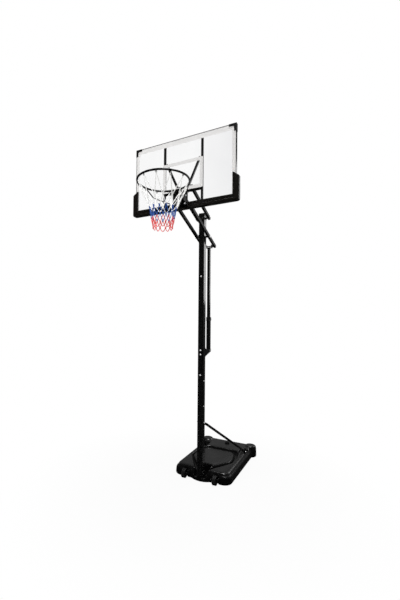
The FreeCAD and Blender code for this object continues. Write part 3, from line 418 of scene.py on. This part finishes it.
spring_steel = surface(
    "oiled_spring_steel", dark=grey(0.16), light=grey(0.26),
    rough=(0.25, 0.4), grain=260.0, depth=0.00003,
    metallic=1.0, patch=60.0,
)
nylon = surface(
    "natural_nylon", dark=grey(0.2, 0.04), light=grey(0.3, 0.05),
    rough=(0.35, 0.5), grain=400.0, depth=0.00005,
)
pad_foam = surface(
    "skinned_foam", dark=grey(0.004, 0.15), light=grey(0.009, 0.25),
    rough=(0.3, 0.46), grain=520.0, depth=0.0002,
    patch=14.0, specular=0.4, sheen=0.01,
)


def tank_finish():
    """Blow-moulded plastic: level parts of the deck are lighter, partly a film of dust and partly painted
    light from above; walls and bowl are kept dark as painted shade.
    """
    light_and_dust_heights, light_and_dust_levels = (0.100, 0.126), (0.45, 0.95)
    shine_heights, shine = (0.070, 0.105), (0.16, 0.6)
    painted_shade_plastic = grey(0.0035)
    material = surface(
        "blow_moulded_plastic", dark=grey(0.005), light=grey(0.028),
        rough=(0.2, 0.36), grain=420.0, depth=0.00014,
        patch=4.0, worn=grey(0.03),
    )
    tree = material.node_tree
    shader = tree.nodes["Principled BSDF"]
    geometry = add_node(tree, "ShaderNodeNewGeometry")
    height = part_of(tree, geometry.outputs["Position"], "Z")
    level = part_of(tree, geometry.outputs["Normal"], "Z")
    # Painted light and shade: high level faces take the lighter deck colour, partly dust and partly painted
    # light from above; low parts and steep walls take a dark colour as painted shade.
    high = ranged(tree, height, *light_and_dust_heights, 0.0, 1.0)
    flat = ranged(tree, level, *light_and_dust_levels, 0.0, 1.0)
    dust_and_painted_light = maths(tree, "MULTIPLY", high, flat)
    dusty_and_lit_colour = shader.inputs["Base Color"].links[0].from_socket
    tree.links.new(mix_colours(tree, dust_and_painted_light, painted_shade_plastic, dusty_and_lit_colour), shader.inputs["Base Color"])
    tree.links.new(ranged(tree, height, *shine_heights, *shine), shader.inputs["Specular IOR Level"])
    return material


def clear_sheet():
    """Clear plastic sheet, with a sharp reflection that grows at a grazing angle on both faces."""
    sheet_index = 1.3
    haze_and_shade_tint = (0.935, 0.936, 0.94, 1)
    cloud_haze, painted_side_shade, painted_shade_reach = 0.35, 0.65, (0.1, 0.5)
    soft_spread, scuff_spread = (0.35, 0.65), (0.35, 0.75)
    polished, scuffed = 0.02, 0.09
    material, tree, shader = new_material("clear_polycarbonate")
    tree.nodes.remove(shader)
    place = object_place(tree)
    clouds = ranged(tree, noise(tree, place, 2.2), *soft_spread, 0.0, cloud_haze)
    # Painted shade: besides the random cloudy haze, the sheet is tinted greyer towards its +X side.
    side = ranged(tree, part_of(tree, place, "X"), *painted_shade_reach, 0.0, painted_side_shade)
    tint = mix_colours(tree, maths(tree, "ADD", clouds, side), OPAQUE_WHITE, haze_and_shade_tint)
    clear = add_node(tree, "ShaderNodeBsdfTransparent", {"Color": tint})
    scuff = noise(tree, place, 40.0, detail=6.0, roughness=0.7)
    scuff = ranged(tree, scuff, *scuff_spread, polished, scuffed)
    shine = add_node(tree, "ShaderNodeBsdfGlossy", {"Roughness": scuff, "Color": OPAQUE_WHITE})
    from_inside = add_node(tree, "ShaderNodeNewGeometry").outputs["Backfacing"]
    index = ranged(tree, from_inside, 0.0, 1.0, sheet_index, 1.0 / sheet_index)
    mirrored = add_node(tree, "ShaderNodeFresnel", {"IOR": index}).outputs[0]
    show(tree, mix_shaders(tree, mirrored, clear.outputs[0], shine.outputs[0]))
    return material


def white_print():
    """Screen-printed white band, a little see-through; its glow stands for the light that passes it."""
    cover = 0.88
    material = surface(
        "white_print", dark=grey(0.70, 0.01), light=grey(0.78, 0.01),
        rough=(0.3, 0.42), grain=1400.0, depth=0.00002,
        patch=5.0, glow=0.31,
    )
    tree = material.node_tree
    shader = tree.nodes["Principled BSDF"]
    clear = add_node(tree, "ShaderNodeBsdfTransparent", {"Color": grey(0.8, 0.01)})
    show(tree, mix_shaders(tree, cover, clear.outputs[0], shader.outputs[0]))
    return material


def net_cord():
    """Twisted polyester cord, coloured in bands by height: white, blue, then red."""
    blue_top, red_top = 2.795, 2.70
    ragged = 0.006
    white_cord = ((0.78, 0.78, 0.76, 1), (0.95, 0.95, 0.94, 1))
    blue_cord = ((0.008, 0.045, 0.24, 1), (0.02, 0.11, 0.42, 1))
    red_cord = ((0.62, 0.045, 0.05, 1), (0.9, 0.16, 0.15, 1))
    material, tree, shader = new_material("net_cord")
    coordinates = add_node(tree, "ShaderNodeTexCoord")
    place = coordinates.outputs["Object"]
    wander = ranged(tree, noise(tree, place, 90.0), *NOISE_SPREAD, -ragged, ragged)
    height = maths(tree, "ADD", part_of(tree, place, "Z"), wander)
    is_blue = maths(tree, "LESS_THAN", height, blue_top)
    is_red = maths(tree, "LESS_THAN", height, red_top)
    fibre = ranged(tree, noise(tree, place, 420.0, detail=4.0, roughness=0.7), *NOISE_SPREAD, 0.0, 1.0)
    white, blue, red = (mix_colours(tree, fibre, *pair) for pair in (white_cord, blue_cord, red_cord))
    colour = mix_colours(tree, is_red, mix_colours(tree, is_blue, white, blue), red)
    twist = add_node(
        tree, "ShaderNodeTexWave", {"Vector": coordinates.outputs["UV"], "Scale": 1.0, "Distortion": 0.6},
        wave_type="BANDS", bands_direction="DIAGONAL",
    )
    relief = {"Height": twist.outputs["Fac"], "Strength": 0.8, "Distance": 0.0006}
    bump = add_node(tree, "ShaderNodeBump", relief)
    tree.links.new(colour, shader.inputs["Base Color"])
    tree.links.new(bump.outputs["Normal"], shader.inputs["Normal"])
    shader.inputs["Roughness"].default_value = 0.8
    shader.inputs["Sheen Weight"].default_value = 0.3
    shader.inputs["Subsurface Weight"].default_value = 0.15
    shader.inputs["Subsurface Radius"].default_value = (0.002, 0.002, 0.002)
    # Painted light: the cords glow in their own colour so that they read brightly lit, also on their shaded
    # sides.
    glow_by_colour(tree, shader, colour, 0.42)
    return material


tank_plastic = tank_finish()
cord = net_cord()

SLOT_FINISH = {
    "ballast_plastic": tank_plastic,
    "moulded_plastic": moulded_plastic,
    "seal_rubber": seal_rubber,
    "black_steel": black_paint,
    "ring_paint": ring_paint,
    "zinc_steel": zinc_plate,
    "spring_steel": spring_steel,
    "nylon": nylon,
    "clear_sheet": clear_sheet(),
    "white_print": white_print(),
    "edge_foam": pad_foam,
    "net_cord": cord,
}
NODE_FINISH = {
    "wheel_left": wheel_plastic,
    "wheel_right": wheel_plastic,
    "lower_arm_left": satin_paint,
    "lower_arm_right": satin_paint,
    "upper_arm_left": satin_paint,
    "upper_arm_right": satin_paint,
    "rear_frame": satin_paint,
    "rim_bracket": satin_paint,
    "rim_backing_box": satin_paint,
    "net_hooks": ring_paint,
    "pole_foot_bolt": dull_zinc,
    "pole_foot_screws": dull_zinc,
}


def dress_nodes():
    """Give every CAD node the finish of its material slot, or its own finish where it has one."""
    for entry in frame["record"]["subparts"]:
        node = NODES[entry["node"]]
        finish = NODE_FINISH.get(entry["node"], SLOT_FINISH[entry["material_slot"]])
        if not node.material_slots:
            node.data.materials.append(finish)
        for material_slot in node.material_slots:
            material_slot.material = finish


def finish_piece(thing, body, finish, stood_for):
    """Material, body and replaced CAD node of a new piece."""
    thing.data.materials.clear()
    thing.data.materials.append(finish)
    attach(thing, body)
    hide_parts(stood_for)


# ------------------------------------------------------------------ ballast tank
# Shields, as (x, y, corner radius) of the right half in millimetres: the bowl and its raised centre.
BOWL = [(85, 20, 30), (265, 335, 70), (262, 520, 300), (225, 722, 90)]
CENTRE = [(60, 85, 25), (224, 318, 55), (226, 440, 300), (185, 612, 80)]


def shield_ring(outline, grow, z, steps=8):
    """Level ring of points round a shield, with arcs at its corners; grow moves it outwards."""
    corners = outline + [(-x, y, radius) for x, y, radius in reversed(outline)]
    ring = []
    for i, (x, y, radius) in enumerate(corners):
        here = Vector((x, y))
        to_last = (Vector(corners[i - 1][:2]) - here).normalized()
        to_next = (Vector(corners[(i + 1) % len(corners)][:2]) - here).normalized()
        half_angle = to_last.angle(to_next) / 2
        inwards = (to_last + to_next).normalized()
        arc = max(radius + grow, 1.0)
        centre = here - inwards * (grow / math.sin(half_angle)) + inwards * (arc / math.sin(half_angle))
        turn = math.pi / 2 - half_angle
        middle = math.atan2(-inwards.y, -inwards.x)
        for k in range(steps + 1):
            angle = middle + turn * (2 * k / steps - 1)
            arc_x = (centre.x + arc * math.cos(angle)) * MM
            arc_y = (centre.y + arc * math.sin(angle)) * MM
            ring.append(Vector((arc_x, arc_y, z * MM)))
    return ring


def tank_shell():
    """Outer wall with its step, up to the deck; the wall is listed as (inset, height) in millimetres."""
    half_x = 0.340
    front = -0.012
    corner = 92
    middle = (front + tank_rear) / 2
    half_y = (tank_rear - front) / 2
    wall = [
        (12, 0), (4, 2), (0, 10), (0, 24), (3, 62), (5, 74), (9, 83), (14, 89), (20, 92.5),
        (23, 96), (25, 103), (30, 112), (38, 119), (50, 123.5), (64, 125), (90, 125),
    ]
    rings = []
    for inset, z in wall:
        reach_x = half_x - inset * MM
        reach_y = half_y - inset * MM
        rings.append(rounded_ring(0, middle, reach_x, reach_y, (corner - 0.5 * inset) * MM, z * MM))
    return loft(rings)


def tank_centre():
    """Raised middle of the bowl with a soft shoulder and a shallow dish, from (growth, height)."""
    rise = [
        (18, 60), (15, 92), (11, 108), (6, 122), (1, 130), (-5, 133), (-14, 133.5), (-34, 131), (-52, 130),
    ]
    return loft([shield_ring(CENTRE, grow, z) for grow, z in rise])


def tank_trench():
    """Ring-shaped solid that cuts the bowl: down the deck's edge, across and up beside the centre."""
    outer = [(14, 160), (9, 128), (4, 124), (-1, 118), (-6, 106), (-10, 95), (-16, 89), (-22, 88)]
    inner = [(21, 88), (17, 90), (14, 94), (11, 108), (6, 122), (1, 130), (-3, 160)]
    rings = [shield_ring(BOWL, grow, z) for grow, z in outer]
    rings += [shield_ring(CENTRE, grow, z) for grow, z in inner]
    return loft(rings, closed=True)


def tank_lobe(side):
    """Round tower on a rear corner, with a shallow dished top, from (radius, height) in millimetres."""
    lobe_x, lobe_y = 0.302, 0.962
    profile = [
        (70, 0), (76, 3), (78, 12), (77, 60), (75, 104), (73, 122), (68, 134),
        (60, 141), (50, 144), (44, 144), (38, 141), (20, 140), (2, 140),
    ]
    return loft([circle_ring(side * lobe_x, lobe_y, r * MM, z * MM) for r, z in profile])


def tank_nose():
    """Low bowed front between the wheels, from (inset, height) in millimetres."""
    nose_front, nose_back = -0.047, 0.06
    nose_radius, nose_half = 0.192, 0.138
    steps = 24
    centre = nose_front + nose_radius
    rings = []
    for inset, z in ((6, 0), (1, 3), (0, 12), (1, 44), (5, 55), (12, 61), (22, 63)):
        ring = []
        half = nose_half - inset * MM
        radius = nose_radius - inset * MM
        for i in range(steps + 1):
            x = half * (1 - 2 * i / steps)
            ring.append(Vector((x, centre - math.sqrt(radius**2 - x * x), z * MM)))
        ring += [Vector((-half, nose_back, z * MM)), Vector((half, nose_back, z * MM))]
        rings.append(ring)
    return loft(rings)


def axle_ear(ear_x):
    """Round-nosed ear that holds a wheel's axle, with chamfered flanks."""
    ear_radius, root_y = 0.020, 0.02
    steps = 12
    rings = []
    for dx, grow in ((-6, -3), (-4, 0), (4, 0), (6, -3)):
        x = ear_x + dx * MM
        r = ear_radius + grow * MM
        ring = [Vector((x, root_y, wheel_z - r)), Vector((x, root_y, wheel_z + r))]
        for i in range(steps + 1):
            angle = math.radians(90 + 180 * i / steps)
            ring.append(Vector((x, wheel_y + r * math.cos(angle), wheel_z + r * math.sin(angle))))
        rings.append(ring)
    return loft(rings)


def tank_ears():
    """Axle ears each side of both wheels."""
    ear_gap = 0.010
    ear_offset = (wheel_high.x - wheel_low.x) / 2 + ear_gap
    return [axle_ear(side * wheel_x + offset) for side in (-1, 1) for offset in (-ear_offset, ear_offset)]


def pole_socket():
    """Stepped well that takes the pole's foot, as (half width, half length, corner, height)."""
    middle = 0.055
    steps = [
        (64, 96, 12, 29.5), (66, 98, 14, 33), (72, 99, 18, 62),
        (80, 101, 22, 110), (88, 106, 28, 124), (100, 116, 34, 150),
    ]
    return loft([rounded_ring(0, middle, a * MM, b * MM, c * MM, z * MM) for a, b, c, z in steps])


def wheel_pocket(side):
    """Slot over a wheel that closes in towards its roof, as (half width, half length, height)."""
    middle, corner = -0.04, 6
    x = side * wheel_x
    steps = ((25, 52, -10), (25, 52, 92), (23, 46, 104), (17, 46, 112))
    return loft([rounded_ring(x, middle, a * MM, b * MM, corner * MM, z * MM) for a, b, z in steps])


def strut_pocket(side):
    """Flared recess in the deck for a strut's foot, as (growth, height)."""
    pocket_x, pocket_y = 0.264, 0.769
    half_x, half_y, corner = 40, 79, 14
    rings = []
    for grow, z in ((0, 91.5), (2, 96), (6, 112), (12, 124), (20, 150)):
        sizes = ((half + grow) * MM for half in (half_x, half_y, corner))
        rings.append(rounded_ring(side * pocket_x, pocket_y, *sizes, z * MM))
    return loft(rings)


def tank_cutters():
    """Solids taken away from the tank: bowl, pole socket, wheel pockets and strut pockets."""
    parts = [tank_trench(), pole_socket()]
    for side in (-1, 1):
        parts += [wheel_pocket(side), strut_pocket(side)]
    return parts


def boolean_cut(thing, cutter):
    """Take one object away from another and delete it."""
    modifier = thing.modifiers.new("cut", "BOOLEAN")
    modifier.operation = "DIFFERENCE"
    modifier.solver = "EXACT"
    modifier.use_self = True
    modifier.object = cutter
    applied(thing)
    bpy.data.objects.remove(cutter)
    return thing


def remeshed(thing, voxel, passes):
    """Even voxel mesh, relaxed so that every edge is softly rounded."""
    remesh = thing.modifiers.new("voxels", "REMESH")
    remesh.mode = "VOXEL"
    remesh.voxel_size = voxel
    remesh.use_smooth_shade = True
    smooth = thing.modifiers.new("relax", "SMOOTH")
    smooth.iterations = passes
    smooth.factor = 0.5
    return applied(thing)


def build_tank():
    """Outer mouldings joined, hollowed by the cutters, then softened as blow moulding softens them."""
    joining_voxel, softening_voxel = 0.005, 0.0045
    softening_passes = 16
    lobes = [tank_lobe(side) for side in (-1, 1)]
    solid = merged([tank_shell(), tank_centre()] + lobes + [tank_nose()] + tank_ears())
    tank = remeshed(clean(make_object("tank_body", *solid)), joining_voxel, 0)
    cutter = clean(make_object("cutter", *merged(tank_cutters())))
    tank = remeshed(boolean_cut(tank, cutter), softening_voxel, softening_passes)
    finish_piece(tank, "stand", tank_plastic, "base_tank")


# ------------------------------------------------------------------ foam pad, in millimetres
half_board = board_high.x / MM
board_bottom = board_low.z / MM
board_face = board_low.y / MM
pad_side = (pad_high.x - board_high.x) / MM
pad_drop = (board_low.z - pad_low.z) / MM
pad_lip = 45.0
side_lip = 32.0
riser_top_slope = 41.0 / 62.0
pad_gap = 0.8
notch_half = 64.0


def pad_profile():
    """Section of the pad as (outward distance, depth) points, with a groove in its front face."""
    front, back = pad_low.y / MM, pad_high.y / MM
    corners = [
        (-pad_lip, front, 6),
        (-22, front - 0.5, 3),
        (-15, front + 3.5, 3),
        (-8, front - 0.5, 3),
        (pad_drop, front, 9),
        (pad_drop, back, 9),
        (pad_gap, back, 3),
        (pad_gap, board_face - 1.0, 0),
        (-pad_lip, board_face - 1.0, 2),
    ]
    return rounded_outline(corners)


def bottom_ring(profile, x):
    """Section under the board; near the middle the lip is left off, behind the rim's bracket."""
    notch_face = board_face + 2.0
    ring = []
    for u, v in profile:
        if x < notch_half + 1:
            u, v = max(u, pad_gap), max(v, notch_face)
        ring.append(Vector((x, v, board_bottom - u)))
    return ring


def side_x(u):
    """Sideways place of a profile point on the upright leg of the pad."""
    return half_board + (u * side_lip / pad_lip if u < 0 else u * pad_side / pad_drop)


def corner_ring(profile, angle):
    """Section turned round the board's lower corner, from straight down at 0 to sideways at a right angle."""
    ring = []
    for u, v in profile:
        if u < 0:
            ring.append(Vector((side_x(u), v, board_bottom - u)))
        else:
            x = half_board + u * math.sin(angle) * pad_side / pad_drop
            ring.append(Vector((x, v, board_bottom - u * math.cos(angle))))
    return ring


def riser_ring(profile, share, shrink=0.0):
    """Section of the upright leg at a share of its height; shrink rounds off its slanted top."""
    ring = []
    middle_x = half_board + 2.0
    for u, v in profile:
        x = side_x(u)
        top = pad_high.z / MM - (x - (half_board - side_lip)) * riser_top_slope
        start = board_bottom - u if u < 0 else board_bottom
        z = start + (top - start) * share
        ring.append(Vector((x + (middle_x - x) * shrink, v + (board_face - v) * shrink, z)))
    return ring


def build_pad():
    """Edge padding: along the bottom, round both lower corners and up the sides; one half is mirrored."""
    along_bottom = (0, 20, 40, notch_half, notch_half + 2, 120, 240, 360, 460, 520, 526)
    up_the_side = (0.15, 0.3, 0.5, 0.7, 0.85, 0.95, 0.985)
    corner_steps = 8
    merge_distance = 1e-5
    profile = pad_profile()
    half = [bottom_ring(profile, x) for x in along_bottom]
    half += [corner_ring(profile, math.radians(90 * i / corner_steps)) for i in range(corner_steps + 1)]
    half += [riser_ring(profile, share) for share in up_the_side]
    half += [riser_ring(profile, 0.997, 0.05), riser_ring(profile, 1.0, 0.14)]
    other = [[Vector((-p.x, p.y, p.z)) for p in ring] for ring in reversed(half[1:])]
    rings = [[p * MM for p in ring] for ring in other + half]
    pad = clean(make_object("edge_pad", *loft(rings)), merge_distance)
    crease = pad.modifiers.new("soften", "BEVEL")
    crease.width = 0.0015
    crease.segments = 2
    crease.angle_limit = math.radians(50)
    applied(pad)
    shade_smooth(pad.data)
    finish_piece(pad, "backboard", pad_foam, "board_pad")


# ------------------------------------------------------------------ net
NET_MESHES = 12
# Rows of knots, as (height, radius).
NET_ROWS = [(2.862, 0.154), (2.785, 0.119), (2.706, 0.103), (2.640, 0.092)]
CORD_RADIUS = 0.0036
UP = Vector((0, 0, 1))


def net_point(angle_step, height, radius):
    """Point of the net at a step round the ring's axis."""
    angle = FULL_TURN * angle_step / NET_MESHES
    x = ring_centre.x + radius * math.cos(angle)
    y = ring_centre.y + radius * math.sin(angle)
    return Vector((x, y, height))


def outward_at(point):
    """Level direction from the ring's axis to a point."""
    return Vector((point.x - ring_centre.x, point.y - ring_centre.y, 0)).normalized()


def net_knots():
    """Knot places row by row; each row is turned half a mesh from the one above, with a small scatter."""
    sideways_scatter, height_scatter = 0.05, 0.005
    rows = []
    for row, (height, radius) in enumerate(NET_ROWS):
        knots = []
        for i in range(NET_MESHES):
            shift = 0.5 if row % 2 else 0.0
            wobble = sideways_scatter * math.sin(2.3 * i + 1.7 * row)
            lift = height_scatter * math.sin(3.1 * i + row)
            knots.append(net_point(i + shift + wobble, height + lift, radius))
        rows.append(knots)
    return rows


def knot(centre):
    """Small overhand knot: two crossed loops of cord."""
    size, flatness, cord_share = 0.006, 0.8, 0.9
    outward = outward_at(centre)
    sideways = Vector((-outward.y, outward.x, 0))
    parts = []
    for tilt in (-0.7, 0.7):
        axis_a = (sideways * math.cos(tilt) + UP * math.sin(tilt)) * size
        axis_b = outward * size * flatness
        parts.append(tube(loop_path(centre, axis_a, axis_b, 10), CORD_RADIUS * cord_share, 6, closed=True))
    return parts


def cord_run(start, end):
    """One leg of the net, bowed a little outwards and downwards."""
    slack, sag = 0.004, 0.4
    middle = (start + end) / 2
    middle = middle + outward_at(middle) * slack - UP * (slack * sag)
    return tube(smooth_path([start, middle, end], 5), CORD_RADIUS, 7)


def hook_loop(hook, left, right):
    """Cord from one knot over a hook to the next knot; it thins where it folds over the hook."""
    reach, rise, tuck = 0.03, 0.0012, 0.002
    thinnest, growth, growing_length = 0.5, 0.7, 0.08
    over = [
        left,
        hook + (left - hook).normalized() * reach,
        hook + UP * rise,
        hook + (right - hook).normalized() * reach - outward_at(hook) * tuck,
        right,
    ]
    path = smooth_path(over, 7)
    radii = []
    for point in path:
        share = min((point - hook).length / growing_length, 1.0)
        radii.append(CORD_RADIUS * (thinnest + growth * share))
    return tube(path, radii)


def bottom_loop(start, end):
    """Hanging scallop between two knots of the lowest row."""
    drop, flank, flank_drop = 0.036, 0.4, 0.008
    dip = (start + end) / 2 - UP * drop
    left = start.lerp(dip, flank) - UP * flank_drop
    right = end.lerp(dip, flank) - UP * flank_drop
    return tube(smooth_path([start, left, dip, right, end], 5), CORD_RADIUS, 7)


def build_net():
    """Knotted net: loops over the hooks, two legs from every knot to the next row, scallops and knots."""
    hook_drop = 0.020
    rows = net_knots()
    parts = []
    for i in range(NET_MESHES):
        hook = net_point(i + 0.5, ring_centre.z - hook_drop, ring_radius)
        parts.append(hook_loop(hook, rows[0][i], rows[0][(i + 1) % NET_MESHES]))
    for row in range(len(rows) - 1):
        shift = 0 if row % 2 else -1
        for i in range(NET_MESHES):
            for k in (0, 1):
                parts.append(cord_run(rows[row][i], rows[row + 1][(i + shift + k) % NET_MESHES]))
    for i in range(NET_MESHES):
        parts.append(bottom_loop(rows[-1][i], rows[-1][(i + 1) % NET_MESHES]))
    for knots in rows:
        for centre in knots:
            parts += knot(centre)
    net = make_object("net_cords", *merged(parts))
    wrap_twist(net)
    finish_piece(net, "rim", cord, "net")


def wrap_twist(thing):
    """Texture coordinates for the twist of the cord, from each point's turn round the ring and height."""
    twists_per_metre = 260.0
    layer = thing.data.uv_layers.new(name="twist")
    for loop in thing.data.loops:
        point = thing.data.vertices[loop.vertex_index].co
        turn = math.atan2(point.y - ring_centre.y, point.x - ring_centre.x) * ring_radius
        layer.data[loop.index].uv = (turn * twists_per_metre, point.z * twists_per_metre)


# ------------------------------------------------------------------ spring of the rim
def spring_path(centre_x, centre_y, low, high):
    """Middle line of the coil: one close turn at each end and open turns between them."""
    coil, turns, steps, end_rise = 0.0125, 6.5, 26, 0.0035
    path = []
    for i in range(int(turns * steps) + 1):
        turn = i / steps
        share = min(max((turn - 1.0) / (turns - 2.0), 0.0), 1.0)
        first_turn = min(turn, 1.0)
        last_turn = max(turn - turns + 1.0, 0.0)
        z = low + end_rise * first_turn + (high - low - 2 * end_rise) * share + end_rise * last_turn
        angle = FULL_TURN * turn
        path.append(Vector((centre_x + coil * math.cos(angle), centre_y + coil * math.sin(angle), z)))
    return path


def build_spring():
    """Coil spring, with a mesh of its own."""
    wire = 0.0020
    centre_x = (spring_low.x + spring_high.x) / 2
    centre_y = (spring_low.y + spring_high.y) / 2
    low, high = spring_low.z + wire, spring_high.z - wire
    path = spring_path(centre_x, centre_y, low, high)
    spring = clean(make_object("coil_spring", *tube(path, wire)))
    finish_piece(spring, "backboard", spring_steel, "rim_spring")
    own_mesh(spring)


# ------------------------------------------------------------------ studio
def build_floor():
    """Large pale floor that fades into the white surroundings, with a faint shadow under the base."""
    half_size = 30.0
    fade_distances, fade_shares = (0.8, 2.0), (0.93, 1.0)
    corners = [(sx * half_size, sy * half_size, 0) for sx, sy in ((-1, -1), (1, -1), (1, 1), (-1, 1))]
    floor = make_object("studio_floor", corners, [(0, 1, 2, 3)])
    material, tree, shader = new_material("pale_floor")
    shader.inputs["Base Color"].default_value = grey(0.9)
    shader.inputs["Roughness"].default_value = 0.9
    shader.inputs["Specular IOR Level"].default_value = 0.1
    distance = add_node(tree, "ShaderNodeVectorMath", {0: object_place(tree)}, operation="LENGTH")
    fade = ranged(tree, distance.outputs["Value"], *fade_distances, *fade_shares)
    seen = add_node(tree, "ShaderNodeLightPath").outputs["Is Camera Ray"]
    glow = add_node(tree, "ShaderNodeEmission", {"Color": OPAQUE_WHITE, "Strength": 1.0})
    show(tree, mix_shaders(tree, maths(tree, "MULTIPLY", fade, seen), shader.outputs[0], glow.outputs[0]))
    floor.data.materials.append(material)
    floor.visible_glossy = False


def build_world():
    """White to the camera; for everything else dim, a little brighter behind the hoop than before it."""
    in_front, behind_hoop, below = 0.03, 0.16, 0.2
    front_to_back, horizon = (-0.1, 0.5), (-0.12, 0.12)
    world = bpy.data.worlds.new("studio")
    bpy.context.scene.world = world
    world.use_nodes = True
    tree = world.node_tree
    background = tree.nodes["Background"]
    direction = add_node(tree, "ShaderNodeTexCoord").outputs["Generated"]
    behind = ranged(tree, part_of(tree, direction, "Y"), *front_to_back, in_front, behind_hoop)
    above = ranged(tree, part_of(tree, direction, "Z"), *horizon, below, 1.0)
    dim = maths(tree, "MULTIPLY", behind, above)
    seen = add_node(tree, "ShaderNodeLightPath").outputs["Is Camera Ray"]
    strength = add_node(tree, "ShaderNodeMix", {0: seen, 2: dim, 3: 1.0}, data_type="FLOAT")
    background.inputs["Color"].default_value = OPAQUE_WHITE
    tree.links.new(strength.outputs[0], background.inputs["Strength"])


def area_light(name, place, target, size, power):
    """Soft box pointed at a target."""
    light = bpy.data.lights.new(name, "AREA")
    light.shape = "RECTANGLE"
    light.size, light.size_y = size
    light.energy = power
    thing = new_object(name, light)
    thing.location = place
    thing.rotation_euler = (Vector(target) - Vector(place)).to_track_quat("-Z", "Y").to_euler()
    thing.visible_camera = False
    return thing


def build_lights():
    """Small box overhead, plain fill from the left, and a tall box behind on the right for reflections."""
    area_light("soft_top", (0.6, -0.6, 6.0), (0.2, 0.3, 0.0), (1.8, 1.8), 170.0)
    fill = area_light("soft_left", (-3.6, -4.4, 4.6), (0.0, -0.4, 2.6), (2.6, 2.6), 170.0)
    fill.visible_glossy = False
    area_light("tall_box", (2.9, 4.7, 4.2), (0.0, 0.0, 4.2), (2.4, 3.7), 80.0)


def build_camera():
    """Camera at standing height, to the right of the court side, looking slightly up."""
    place = Vector((1.4928, -3.4842, 1.7630))
    yaw, pitch, roll = math.radians(28.52), math.radians(1.57), math.radians(0.62)
    right = Vector((math.cos(yaw), math.sin(yaw), 0))
    forward = Vector((-math.sin(yaw) * math.cos(pitch), math.cos(yaw) * math.cos(pitch), math.sin(pitch)))
    up = right.cross(forward)
    tilted_right = right * math.cos(roll) + up * math.sin(roll)
    tilted_up = up * math.cos(roll) - right * math.sin(roll)
    camera = bpy.data.cameras.new("camera")
    camera.lens = 19.94
    camera.shift_x = 0.0484
    camera.shift_y = 0.0219
    thing = new_object("camera", camera)
    columns = Matrix((tilted_right, tilted_up, -forward)).transposed()
    thing.matrix_world = Matrix.Translation(place) @ columns.to_4x4()
    bpy.context.scene.camera = thing


# ------------------------------------------------------------------ build
dress_nodes()
build_tank()
build_pad()
build_net()
build_spring()
build_floor()
build_world()
build_lights()
build_camera()
bpy.context.scene.view_settings.view_transform = "Standard"
